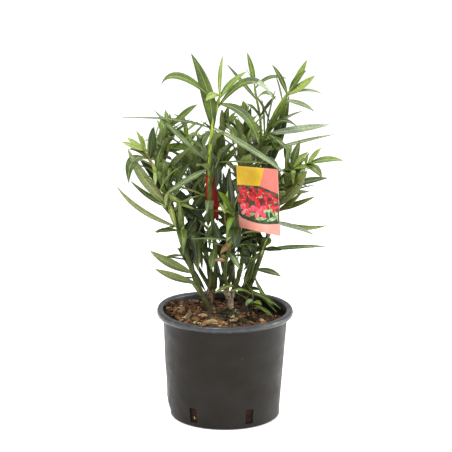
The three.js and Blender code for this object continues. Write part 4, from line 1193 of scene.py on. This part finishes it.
def grow_whorls(leaves):
    """The leaves of the seeded rule: the whorls of the solids, then more between and below them."""
    for name, shoot in SHOOTS.items():
        for row in whorl_rows(shoot):
            grow(shoot, (*row[:5], row[5] * WHORL_WIDTH, row[6]), mass_of(name), leaves)
    for name, shoot in SHOOTS.items():
        if "fork_of" in shoot:
            continue
        first, last, count, reach = shoot["whorls"]
        lower = (max(EXTRA["lowest"], first - EXTRA["lower"]), min(last, EXTRA["highest"]), count, reach)
        finer = {**shoot, "seed": shoot["seed"] + EXTRA["seed"], "whorls": lower}
        for row in whorl_rows(finer, EXTRA_WHORLS):
            length = max(EXTRA["least"], row[3] * EXTRA["length"])
            row = (*row[:3], length, row[4], row[5] * EXTRA["width"], row[6])
            grow(shoot, row, name, leaves, wide=False)


def grow_side_twigs(leaves):
    """The side twigs that find room for themselves and for two leaves or more."""
    twigs = []
    for name, shoot in SHOOTS.items():
        if name == "basal":
            continue
        mass = mass_of(name)
        random = seeded_random(shoot["seed"] + SIDE_TWIGS["seed"])
        for twig in side_twigs_of(shoot, random):
            line = np.array([tuple(point_along(twig["route"], s)) for s in even_shares(0.3, 1, 12)])
            has_room = is_clear(line, OWNERS[mass], wide=False)
            if not has_room or not inside_crown(twig["route"][3]) or hides_label(line):
                continue
            before = len(leaves[mass])
            for row in whorl_rows(twig):
                grow(twig, (*row, "fresh" if row[0] < 0.9 else "young"), mass, leaves, wide=False)
            if len(leaves[mass]) > before + 1:
                claim(line, OWNERS[mass])
                twigs.append(twig)
            else:
                del leaves[mass][before:]
    return twigs


def grow_crown():
    """All the leaves of each mass, and its side twigs."""
    leaves = {mass: [] for mass in sorted({mass_of(name) for name in SHOOTS})}
    claim_limbs()
    claim_labels()
    grow_shown(leaves)
    grow_whorls(leaves)
    return leaves, grow_side_twigs(leaves)


# Leaf meshes

def add_blade(bm, leaf, tone, chance):
    """A blade: a grid drawn in to a lance shape, folded along its midrib, bowed, waved and twisted."""
    verts = bmesh.ops.create_grid(bm, x_segments=BLADE["across"], y_segments=BLADE["along"], size=1)["verts"]
    columns = (-1, -0.5, -BLADE["rib"] / 2, BLADE["rib"] / 2, 0.5, 1)
    width = leaf["width"] / 2
    wave = BLADE["wave"] * min(1, width / BLADE["wave_full"])
    phase = FULL_TURN * chance
    twist = BLADE["twist"] * (chance - 0.5)
    for v in verts:
        column = columns[round((v.co.x + 1) * BLADE["across"] / 2)]
        share = (v.co.y + 1) / 2
        along = (leaf["bend"] - leaf["base"]) * (1 - share) + (leaf["tip"] - leaf["bend"]) * share
        along.normalize()
        side = (leaf["side"] - along * leaf["side"].dot(along)).normalized()
        side.rotate(Quaternion(along, twist * (share - BLADE["twist_from"])))
        face = side.cross(along)
        half = max(width * blade_width(share), BLADE["foot_half"] if share < 0.5 else BLADE["tip_half"])
        if abs(column) == BLADE["rib"] / 2:
            across = copysign(min(BLADE["rib_half"], half * BLADE["rib_share"]), column)
            across *= 1 - BLADE["rib_taper"] * share
        else:
            across = column * half
        ripple = wave * abs(column) * sin(BLADE["waves"] * share + phase + 2 * column)
        v.co = midrib(leaf, share) + side * across + face * (BLADE["fold"] * abs(across) + ripple)
    middle = {v for i, v in enumerate(verts) if i % (BLADE["across"] + 1) in (2, 3)}
    outer = set(verts[len(verts) * 3 // 5:])
    tones = tone if isinstance(tone, tuple) else (tone, tone)
    for f in {f for v in verts for f in v.link_faces}:
        shown = tones[1] if outer.issuperset(f.verts) else tones[0]
        f.material_index = TONES.index(shown) + (len(TONES) if middle.issuperset(f.verts) else 0)


def make_foliage(name, leaves, finishes):
    """The leaves of one mass. Solidify gives them their undersides, in finishes of their own."""
    bm = bmesh.new()
    random = seeded_random(FOLIAGE_SEED + len(leaves))
    for leaf, row in leaves:
        add_blade(bm, leaf, tone_at(row, next(random)), next(random))
    piece = finished(f"foliage_{name}", bm, finishes, parts=[f"leaves_{name}"])
    shell = piece.modifiers.new("thickness", "SOLIDIFY")
    shell.thickness = BLADE["thick"] * MM
    shell.offset = -1
    shell.material_offset = 2 * len(TONES)
    shell.material_offset_rim = 0
    return piece


# Pot

def arc(centre, radius, start, end, steps):
    """Points (distance from the axis, height) along an arc between two angles in degrees."""
    angles = [radians(start + (end - start) * i / steps) for i in range(steps + 1)]
    return [(centre[0] + radius * cos(a), centre[1] + radius * sin(a)) for a in angles]


def wall_at(height, inset=0):
    """The radius of the tapering wall at a height."""
    share = (height - WALL_FROM) / (SHOULDER_HEIGHT - WALL_FROM)
    return BASE_RADIUS + (SHOULDER_RADIUS - BASE_RADIUS) * share - inset


def pot_outline():
    """From the middle of the underside, out and up the wall, round the rolled lip and down the inside."""
    outline = [(0, 0), (FOOT_RADIUS, 0), *arc((FOOT_RADIUS, 5), 5, -80, -15, 5)]
    outline += [(wall_at(z), z) for z in (SLOT["low"], *WALL_ROWS, SHOULDER_HEIGHT - 3)]
    outline.append((wall_at(SHOULDER_HEIGHT) + 0.8, SHOULDER_HEIGHT - 0.4))
    outline.append((RIM_RADIUS - 3.6, SHOULDER_HEIGHT + 1.2))
    for values in LIP_ROUNDS:
        outline += arc(*values)
    outline += [(MOUTH_RADIUS - 0.2, POT_HEIGHT - 9)]
    outline += [(wall_at(z, WALL), z) for z in (*INNER_ROWS, SLOT["low"])]
    return outline + [(BASE_RADIUS - WALL - 4, FLOOR), (0, FLOOR)]


def spun(outline, steps):
    """A closed shape from an outline that starts and ends on the axis."""
    bm = bmesh.new()
    verts = [bm.verts.new((radius, 0, height)) for radius, height in outline]
    edges = [bm.edges.new(pair) for pair in zip(verts, verts[1:])]
    bmesh.ops.spin(bm, geom=verts + edges, cent=(0, 0, 0), axis=(0, 0, 1), angle=2 * pi, steps=steps,
                   use_merge=True)
    bmesh.ops.remove_doubles(bm, verts=bm.verts, dist=1e-4)
    bmesh.ops.recalc_face_normals(bm, faces=bm.faces)
    return bm


def cut_slots(bm):
    """Opens the slots: their faces go from both walls, and the two edges of each hole are joined."""
    half = 180 / POT_STEPS * SLOT["columns"]
    for i in range(SLOT["count"]):
        angle = SLOT["first"] + 360 / SLOT["count"] * i

        def near(place, margin):
            turn = (degrees(atan2(place.y, place.x)) - angle + 180) % 360 - 180
            return abs(turn) < half + margin and place.to_2d().length > BASE_RADIUS - WALL - 3

        gone = []
        for face in bm.faces:
            middle = face.calc_center_median()
            if near(middle, 0) and SLOT["low"] < middle.z < SLOT["high"]:
                gone.append(face)
        bmesh.ops.delete(bm, geom=gone, context="FACES")
        edges = [e for e in bm.edges if e.is_boundary and near((e.verts[0].co + e.verts[1].co) / 2, 0.3)]
        bmesh.ops.bridge_loops(bm, edges=edges)


def out_of_round(place):
    """The pot as used: its lip a little higher at both rear sides, its wall fuller at the lower left."""
    angle = atan2(place.y, place.x)
    lip_foot = POT_HEIGHT - LIP_DEPTH - 3
    if place.z > lip_foot:
        rise = sum(height * max(0, cos(angle - radians(bearing))) ** sharpness
                   for bearing, height, sharpness in LIP_RISES)
        place.z += (place.z - lip_foot) / LIP_DEPTH * rise
    left = max(0, cos(angle - pi)) ** 3
    if place.to_2d().length > FOOT_RADIUS:
        up = pi * min(1, place.z / LEFT_SWELL["wall_top"])
        place.x -= LEFT_SWELL["wall"] * left * sin(up) ** 1.5
        from_low = (place.z - LEFT_SWELL["low_at"]) / LEFT_SWELL["low_spread"]
        place.x -= LEFT_SWELL["low"] * left * exp(-from_low ** 2)


def make_pot(finishes):
    """The pot: spun wall and lip, six slots, and a slight unevenness."""
    bm = spun(pot_outline(), POT_STEPS)
    cut_slots(bm)
    bmesh.ops.recalc_face_normals(bm, faces=bm.faces)
    # The lip takes the lighter finish, a painted highlight.
    for face in bm.faces:
        middle = face.calc_center_median()
        on_lip = middle.z > SHOULDER_HEIGHT and middle.to_2d().length > MOUTH_RADIUS - 1.5
        face.material_index = 1 if on_lip else 0
    for v in bm.verts:
        out_of_round(v.co)
    piece = finished("grower_pot", bm, finishes, parts=["pot"])
    piece.data.set_sharp_from_angle(angle=radians(35))
    return piece


# Soil, chips and moss

def ground_height(x, y):
    """The surface of the mix: the slope of the solid, with its humps and rises."""
    height = soil_top(x, y)
    height += sum(hump * noise.noise(Vector((x, y, layer)) / patch) for hump, patch, layer in HUMPS)
    height += sum(rise * exp(-((x - at_x) ** 2 + (y - at_y) ** 2) / spread)
                  for rise, at_x, at_y, spread in RISES)
    depth, start, width = EDGE_DROP
    height -= depth * max(0, (hypot(x, y) - start) / width) ** 2
    return min(height, POT_HEIGHT + 4)


def make_soil(finish):
    """The ground under the chips, closed below so that it fills the pot and shows in the slots."""
    reach = MOUTH_RADIUS - 2 * SOIL_GAP
    foot = FLOOR + SOIL_GAP
    inside = [(0, foot), (BASE_RADIUS - WALL - 5, foot)]
    inside += [(wall_at(z, WALL + SOIL_GAP), z) for z in (SLOT["low"], *SOIL_ROWS)] + [(reach - 1, 160)]
    surface = [(reach * (1 - i / SOIL_RINGS), SOIL_LEVEL) for i in range(SOIL_RINGS + 1)]
    bm = spun(inside + surface, SOIL_STEPS)
    for v in bm.verts:
        if v.co.z > SOIL_LEVEL - 1:
            v.co.z = ground_height(v.co.x, v.co.y)
    return finished("bark_mix", bm, [finish], parts=["soil"])


def add_chip(bm, at, size, turn, kind, random):
    """A chip: a subdivided block, flattened, with every corner knocked about."""
    before = len(bm.verts)
    block = bmesh.ops.create_cube(bm, size=1)["verts"]
    edges = list({e for v in block for e in v.link_edges})
    bmesh.ops.subdivide_edges(bm, edges=edges, cuts=1, use_grid_fill=True)
    bm.verts.ensure_lookup_table()
    verts = bm.verts[before:]
    smoothed(verts, bm, CHIPS["rounding"])
    for v in verts:
        v.co += Vector([CHIPS["knocks"] * (next(random) - 0.5) for _ in range(3)])
    place = Matrix.Translation(at) @ turn.to_matrix().to_4x4() @ Matrix.Diagonal((*size, 1))
    bmesh.ops.transform(bm, matrix=place, verts=verts)
    paint(verts, CHIP_KINDS.index(kind))


def chip_kind(x, y, chance):
    """Mostly red-brown and orange bark, darker in front of the stumps; dark at the right rear as painted
    shade.
    """
    if x > PAINTED_SHADE_REAR["x"] and y > PAINTED_SHADE_REAR["y"] and chance < PAINTED_SHADE_REAR["chance"]:
        return "dark"
    away = hypot(x - DARK_FRONT["x"], (y - DARK_FRONT["y"]) * DARK_FRONT["flat"])
    if away < DARK_FRONT["radius"] and chance < DARK_FRONT["chance"]:
        return "dark"
    for limit, kind in KINDS_UP_TO:
        if chance < limit:
            return kind
    return "grey"


def make_chips(finishes):
    """Bark chips strewn over the mix, and the few large ones that stand out."""
    bm = bmesh.new()
    random = seeded_random(CHIPS["seed"])

    def drawn(values):
        return values[0] + values[1] * next(random)

    for _ in range(CHIPS["count"]):
        radius = (MOUTH_RADIUS - CHIPS["margin"]) * sqrt(next(random))
        angle = 2 * pi * next(random)
        x, y = radius * cos(angle), radius * sin(angle)
        length = CHIPS["length"][0] + CHIPS["length"][1] * next(random) ** 2
        size = (length, length * drawn(CHIPS["width"]), drawn(CHIPS["thick"]))
        turn = Quaternion((0, 0, 1), FULL_TURN * next(random))
        for axis, most in zip(((1, 0, 0), (0, 1, 0)), CHIPS["lean"]):
            turn = turn @ Quaternion(axis, most * (next(random) - 0.5))
        at = Vector((x, y, ground_height(x, y) + drawn(CHIPS["lift"])))
        add_chip(bm, at, size, turn, chip_kind(x, y, next(random)), random)
    for at, size, heading, kind in LARGE_CHIPS:
        on_lip = POT_HEIGHT if hypot(*at) > 100 else 0
        place = Vector((*at, max(ground_height(*at), on_lip) + size[2] / 2))
        add_chip(bm, place, size, Quaternion((0, 0, 1), radians(heading)), kind, random)
    at_slot = Quaternion((0, 0, 1), radians(SLOT["first"]))
    place = at_slot @ Vector((wall_at(SLOT_CHIP["height"]) - WALL - 2.5, 0, SLOT_CHIP["height"]))
    add_chip(bm, place, SLOT_CHIP["size"], at_slot, "straw", random)
    bmesh.ops.recalc_face_normals(bm, faces=bm.faces)
    return finished("bark_chips", bm, finishes, smooth=False)


def make_moss(finish):
    """Tufts of moss round the feet of the stems."""
    bm = bmesh.new()
    random = seeded_random(MOSS["seed"])
    for _ in range(MOSS["count"]):
        x = MOSS["corner"] + MOSS["spread"] * (next(random) - MOSS["left"])
        y = MOSS["corner"] + MOSS["spread"] * (next(random) - MOSS["front"])
        size = MOSS["size"][0] + MOSS["size"][1] * next(random)
        tuft = bmesh.ops.create_icosphere(bm, subdivisions=1, radius=size)["verts"]
        for v in tuft:
            v.co *= MOSS["knocks"][0] + MOSS["knocks"][1] * next(random)
        place = Matrix.Translation((x, y, ground_height(x, y) + MOSS["lift"]))
        bmesh.ops.transform(bm, matrix=place @ Matrix.Diagonal((1, 1, MOSS["flat"], 1)), verts=tuft)
    return finished("moss_tufts", bm, [finish])


# Labels and tie

def flat_outline(bm, points, finish):
    """A flat face through points (x, z), facing the front, that lies in the card's plane."""
    face = bm.faces.new([bm.verts.new((x, 0, z)) for x, z in points])
    if face.normal_update() or face.normal.y > 0:
        face.normal_flip()
    face.material_index = finish
    return face


def turned(at, along, across, turn):
    """A point of a printed outline, from its place along and across a shape that starts at a point."""
    return (at[0] + along * cos(turn) - across * sin(turn),
            at[1] + along * sin(turn) + across * cos(turn))


def oval_points(at, length, width, turn):
    """The outline of a petal that starts at a point and widens outwards."""
    points = []
    for i in range(20):
        angle = 2 * pi * i / 20
        along = length * (0.5 - 0.5 * cos(angle))
        across = width / 2 * sin(angle) * (0.55 + 0.45 * along / length)
        points.append(turned(at, along, across, turn))
    return points


def lance_points(at, length, width, turn):
    """The outline of a narrow leaf."""
    points = []
    for i in range(24):
        share = i / 12 if i < 12 else (24 - i) / 12
        across = width / 2 * sin(pi * share) * (1 if i < 12 else -1)
        points.append(turned(at, length * share, across, turn))
    return points


CARD_INKS = {
    "card_stock": ("c98f80", "d49c8c", 14),
    "ink_yellow": ("ae8a0e", "c4a01c", 30),
    "ink_salmon": ("bc6054", "c66e62", 30),
    "ink_dark_green": ("1d2a1a", "3d4c32", 7),
    "ink_red": ("ab1826", "c62a36", 6),
    "ink_deep_red": ("7e0f1c", "981524", 6),
    "ink_dark_red": ("4a0c14", "64101c", 6),
    "ink_rose": ("cc3a50", "dc5c68", 8),
    "ink_pink": ("d8606a", "e4868a", 8),
    "ink_leaf": ("5e8248", "a2b684", 5),
    "ink_gold": ("b98632", "cfa650", 4),
    "ink_pale_salmon": ("dc8a7c", "e49a8c", 30),
}
# Printed leaves as (x, z, length, turn in degrees), and flowers as (x, z, size, turn in radians, inks)
PRINT_LEAVES = [
    (-34, -24, 34, 70), (-20, -30, 30, 110), (4, -34, 38, 60), (20, -30, 36, 95), (30, -26, 34, 120),
    (36, -34, 30, 100), (-6, -6, 26, 40), (12, -8, 30, 20), (-30, 2, 22, 25), (-26, -33, 22, 20),
    (-8, -36, 24, 12), (14, -36, 24, 25),
]
REDS = ("ink_red", "ink_deep_red", "ink_red")
DEEP_REDS = ("ink_deep_red", "ink_red", "ink_dark_red")
ROSES = ("ink_rose", "ink_red", "ink_rose", "ink_pink")
PRINT_FLOWERS = [
    (-27, 9, 11, 0.3, REDS), (27, 4, 12, 1.0, DEEP_REDS), (9, 11, 10, 0.0, REDS), (-9, 12, 9, 0.6, DEEP_REDS),
    (-18, 1, 10, 1.1, DEEP_REDS), (-3, 1, 11, 0.9, REDS), (14, -5, 12, 0.2, DEEP_REDS),
    (-30, -7, 11, 0.8, REDS), (31, -11, 9, 0.5, REDS), (-23, -22, 13, 0.1, ROSES), (1, -19, 16, 0.5, ROSES),
]
PETALS = 5


def printed(bm, points, ink, layer):
    """One printed patch, kept inside the card's edges, a hair in front of the ones below it."""
    wide, high = CARD["width"] / 2 - 0.15, CARD["height"] / 2 - 0.15
    inside = [(min(wide, max(-wide, x)), min(high, max(-high, z))) for x, z in points]
    face = flat_outline(bm, inside, list(CARD_INKS).index(ink))
    bmesh.ops.translate(bm, vec=(0, -CARD["thick"] / 2 - INK_GAP - INK_STEP * layer, 0), verts=face.verts)


def print_fields(bm, wide, high):
    """The card's plain fields: the dark ground of the picture, and the yellow and salmon ones above it."""
    low, top = -high + FIELDS["picture"], high - CARD["droop"]
    part = high - CARD["droop"] * (wide - FIELDS["part"]) / (2 * wide)
    printed(bm, [(-wide, -high), (wide, -high), (wide, low), (-wide, low)], "ink_dark_green", 0)
    corner = (FIELDS["part"], part)
    printed(bm, [(-wide, FIELDS["left"]), FIELDS["meet"], corner, (-wide, top)], "ink_yellow", 1)
    printed(bm, [FIELDS["meet"], (wide, FIELDS["right"]), (wide, high), corner], "ink_salmon", 1)


def print_flowers(bm):
    """The card's picture: generic leaves and five-petalled flowers."""
    for i, (x, z, length, turn) in enumerate(PRINT_LEAVES):
        printed(bm, lance_points((x, z), length, 6, radians(turn)), "ink_leaf", 2 + 0.1 * i)
    for i, (x, z, size, turn, inks) in enumerate(PRINT_FLOWERS):
        for k in range(PETALS):
            petal = oval_points((x, z), size, size * (0.62 + 0.1 * (k % 3)), turn + 2 * pi * k / PETALS)
            printed(bm, petal, inks[k % len(inks)], 4 + 2 * i + 0.3 * k)
        printed(bm, oval_points((x, z), size * 0.2, size * 0.2, turn), "ink_gold", 5.7 + 2 * i)


def print_foot_band(bm, wide, high):
    """The pale band along the card's foot, whose upper edge bows down."""
    right, left = -high + FOOT_BAND["right"], -high + FOOT_BAND["left"]
    band = [(-wide, -high), (wide, -high - CARD["dip"] * FOOT_BAND["dip"]), (wide, right)]
    for i in range(1, 12):
        band.append((wide - 2 * wide * i / 12, right - FOOT_BAND["bow"] * sin(pi * i / 12)))
    printed(bm, band + [(-wide, left)], "ink_pale_salmon", FOOT_BAND["layer"])


def make_card(finishes):
    """The hanging card: a rounded sheet, and a plain print of fields, leaves and flowers."""
    bm = bmesh.new()
    wide, high, thick = CARD["width"] / 2, CARD["height"] / 2, CARD["thick"]
    corners = [(-wide, -high), (wide, -high - CARD["dip"]), (wide, high), (-wide, high - CARD["droop"])]
    sheet = flat_outline(bm, corners, 0)
    bmesh.ops.bevel(bm, geom=sheet.verts[:], offset=CARD["corner"], offset_type="OFFSET", segments=4,
                    profile=0.5, affect="VERTICES", material=-1)
    made = bmesh.ops.extrude_face_region(bm, geom=bm.faces[:])["geom"]
    back = [v for v in made if isinstance(v, bmesh.types.BMVert)]
    bmesh.ops.translate(bm, vec=(0, thick, 0), verts=back)
    bmesh.ops.translate(bm, vec=(0, -thick / 2, 0), verts=bm.verts)
    bmesh.ops.recalc_face_normals(bm, faces=bm.faces)
    print_fields(bm, wide, high)
    print_flowers(bm)
    print_foot_band(bm, wide, high)
    bmesh.ops.transform(bm, matrix=card_matrix(), verts=bm.verts)
    hole = Vector((-wide + CARD["hole"][0], 0, high - CARD["hole"][1]))
    hang_from_ring(bm, SHOOTS["middle"], CARD_RING_SHARE, card_matrix() @ hole, 2)
    return finished("plant_card", bm, finishes, smooth=False, parts=["label_card"])


def hang_from_ring(bm, shoot, share, hold, slot):
    """A ring round a stem and a strap from it to a point."""
    centre = point_along(shoot["route"], share)
    inner = radius_along(shoot, share) * SWELL + RING["clear"]
    axis, half_wall = axis_along(shoot["route"], share), RING["half_wall"]
    add_ring(bm, centre, axis, inner + half_wall, half_wall, RING["height"], slot)
    reach = centre + (hold - centre).normalized() * (inner + 1)
    span = hold - reach
    strap = bmesh.ops.create_cube(bm, size=1)["verts"]
    turn = Vector((0, 0, 1)).rotation_difference(span.normalized()).to_matrix().to_4x4()
    size = Matrix.Diagonal((STRAP["width"], STRAP["thick"], span.length, 1))
    bmesh.ops.transform(bm, matrix=Matrix.Translation((reach + hold) / 2) @ turn @ size, verts=strap)
    paint(strap, slot)


def add_ring(bm, centre, axis, radius, half_wall, height, slot):
    """A flat band round an axis: a small rectangle spun a full turn."""
    inner, outer, top = radius - half_wall, radius + half_wall, height / 2
    verts = [bm.verts.new((x, 0, z)) for x, z in ((inner, -top), (outer, -top), (outer, top), (inner, top))]
    edges = [bm.edges.new(pair) for pair in zip(verts, verts[1:] + verts[:1])]
    old = set(bm.faces)
    bmesh.ops.spin(bm, geom=verts + edges, cent=(0, 0, 0), axis=(0, 0, 1), angle=2 * pi,
                   steps=RING["steps"], use_merge=True)
    made = [f for f in bm.faces if f not in old]
    bmesh.ops.recalc_face_normals(bm, faces=made)
    band = list({v for f in made for v in f.verts})
    bmesh.ops.transform(bm, matrix=across_matrix(centre, axis), verts=band)
    for f in made:
        f.material_index = slot


def make_strip(finishes):
    """The red strip behind the leader: a bent sheet with a ragged foot, and its ring."""
    leader = SHOOTS["leader"]
    radius, ring_share = STRIP["radius"], STRIP["ring_share"]
    centre = point_along(leader["route"], ring_share)
    down = (point_along(leader["route"], ring_share - STRIP["foot_share"]) - centre).normalized()
    bm = bmesh.new()
    sheet = bmesh.ops.create_grid(bm, x_segments=26, y_segments=16, size=1)["verts"]
    for v in sheet:
        share = (v.co.x + 1) / 2
        angle = radians(STRIP["from"] + (STRIP["to"] - STRIP["from"]) * share)
        drop = (1 - v.co.y) / 2
        fine, coarse = STRIP["teeth"]
        teeth = (0.5 + 0.5 * cos(fine * share)) * (0.6 + 0.4 * sin(coarse * share))
        ragged = STRIP["ragged"] * teeth * max(0, drop - STRIP["ragged_from"]) / (1 - STRIP["ragged_from"])
        height = STRIP["above"] - (STRIP["height"] - ragged) * drop
        v.co = Vector((radius * cos(angle), radius * sin(angle), height))
    # Faces before the strip's fold take the brighter red, painted light, and the others the darker red,
    # painted shade: one red plastic in a lit and a shaded copy.
    for face in bm.faces:
        face.material_index = 0 if face.calc_center_median().x < STRIP["fold"] else 1
    bmesh.ops.solidify(bm, geom=bm.faces[:], thickness=STRIP["thick"])
    bmesh.ops.recalc_face_normals(bm, faces=bm.faces)
    turn = Vector((0, 0, -1)).rotation_difference(down).to_matrix().to_4x4()
    bmesh.ops.transform(bm, matrix=Matrix.Translation(centre) @ turn, verts=bm.verts)
    back = turn @ Vector((0, 1, 0))
    hang_from_ring(bm, leader, ring_share, centre + back * (radius - 0.5), 1)
    return finished("red_strip", bm, finishes, parts=["label_strip"])


def make_tie(finish):
    """The small tie: two turns of band round the leader and its cut end."""
    leader = SHOOTS["leader"]
    centre = point_along(leader["route"], TIE_SHARE)
    axis = axis_along(leader["route"], TIE_SHARE)
    radius = radius_along(leader, TIE_SHARE) * SWELL + TIE["clear"]
    bm = bmesh.new()
    for up, wider, height in ((-1.0, 0, 1.7), (0.9, 0.15, 1.6)):
        add_ring(bm, centre + axis * up, axis, radius + wider, TIE["half_wall"], height, 0)
    start = centre + Vector((radius, -1, 0))
    span = Vector(TIE["tail"])
    tail = []
    for t in (0, 0.3, 0.6, 0.85, 1):
        along = (span + Vector((0, 0, TIE["rise"] * t))).normalized()
        tail.append((start + span * t, along, TIE["radius"] - 0.2 * t))
    limb(bm, tail, 8)
    bmesh.ops.recalc_face_normals(bm, faces=bm.faces)
    return finished("stem_tie", bm, [finish], parts=["tie"])


# Stage, lamps and camera

def make_stage():
    """A wide pale floor."""
    finish = grained("pale_floor", 0.9, [((900, 1), ((0.3, "f6f6f6"), (0.7, "fafafa")))], [],
                     Emission_Color=(1, 1, 1, 1), Emission_Strength=0.42)
    bm = bmesh.new()
    bmesh.ops.create_grid(bm, x_segments=1, y_segments=1, size=30)
    mesh = bpy.data.meshes.new("floor")
    bm.to_mesh(mesh)
    bm.free()
    mesh.materials.append(finish)
    floor = bpy.data.objects.new("floor", mesh)
    floor.location.z = FLOOR_AT
    bpy.context.scene.collection.objects.link(floor)


def make_lamp(name, at, size, power):
    """A soft rectangular lamp that faces the plant."""
    lamp = bpy.data.lights.new(name, "AREA")
    lamp.shape = "RECTANGLE"
    lamp.size, lamp.size_y = size
    lamp.energy = power
    holder = bpy.data.objects.new(name, lamp)
    holder.location = at
    holder.rotation_euler = (Vector(LAMPS_FACE) - Vector(at)).to_track_quat("-Z", "Y").to_euler()
    bpy.context.scene.collection.objects.link(holder)


def make_daylight():
    """Even white light from all round."""
    world = bpy.data.worlds.new("studio")
    world.use_nodes = True
    background = world.node_tree.nodes["Background"]
    background.inputs["Color"].default_value = (1, 1, 1, 1)
    background.inputs["Strength"].default_value = DAYLIGHT
    bpy.context.scene.world = world


def make_camera():
    """The camera at the photograph's angle."""
    lens = bpy.data.cameras.new("camera")
    lens.sensor_width = CAMERA["sensor"]
    lens.lens = CAMERA["sensor"] * CAMERA["focal"] / CAMERA["frame"]
    holder = bpy.data.objects.new("camera", lens)
    holder.location = Vector(CAMERA["at"]) * MM
    holder.rotation_euler = (radians(90 - CAMERA["down"]), 0, 0)
    bpy.context.scene.collection.objects.link(holder)
    bpy.context.scene.camera = holder


# Assembly

make_camera()
make_daylight()
for values in LAMPS:
    make_lamp(*values)
make_stage()
set_feet()

# Colours of young bark from the soil up
bark = stem_finish("stem_bark", (0, "3b3118"), (0.1, "4a4e24"), (0.3, "525f28"), (0.62, "66782c"),
                   (0.9, "83943c"))
leader_bark = stem_finish("leader_bark", (0, "382b19"), (0.25, "464e24"), (0.56, "5f6e2a"),
                          (0.63, "9aac40"), (1, "b2c252"))
side_bark = stem_finish("side_twig_bark", (0, "5c4a2a"), (0.5, "7a6034"), (0.8, "87843e"), (1, "a0b44c"))

crown, side_twigs = grow_crown()
make_boughs([bark, leader_bark])
make_twigs(side_twigs, [bark, leader_bark, side_bark])
leaf_slots = leaf_finishes()
for mass, grown in crown.items():
    make_foliage(mass, grown, leaf_slots)

stump_finishes = {
    "brown": wood_finish("brown_wood", "2c2418", "55452f", "7c6c50"),
    "grey": wood_finish("grey_wood", "54483a", "8d7c62", "b5a68a"),
    "dark": wood_finish("dark_wood", "1b160e", "302818", "443a28"),
}
for stump_name, stump in STUMPS.items():
    make_stump(stump_name, stump_finishes[stump["finish"]])

make_pot([pot_finish(), rim_finish()])
make_soil(soil_finish())
make_chips([
    chip_finish("chip_red_brown", "38251a", "68472e"),
    chip_finish("chip_orange", "6b4a2c", "987048"),
    chip_finish("chip_dark", "17100a", "342415"),
    chip_finish("chip_straw", "94794c", "c8b288"),
    chip_finish("chip_grey", "54472f", "7e7050"),
])
make_moss(moss_finish())

make_card([print_finish(ink, *values) for ink, values in CARD_INKS.items()])
# A lit and a shaded copy of the strip's one red: painted light and painted shade.
make_strip([plastic_finish("strip_red_painted_light", "e83a20", "f8543a", 0.42),
            plastic_finish("strip_red_painted_shade", "a81610", "c82218", 0.42)])
make_tie(plastic_finish("teal_plastic", "17585c", "2f8480", 0.45))

bpy.context.scene.view_settings.view_transform = "Standard"
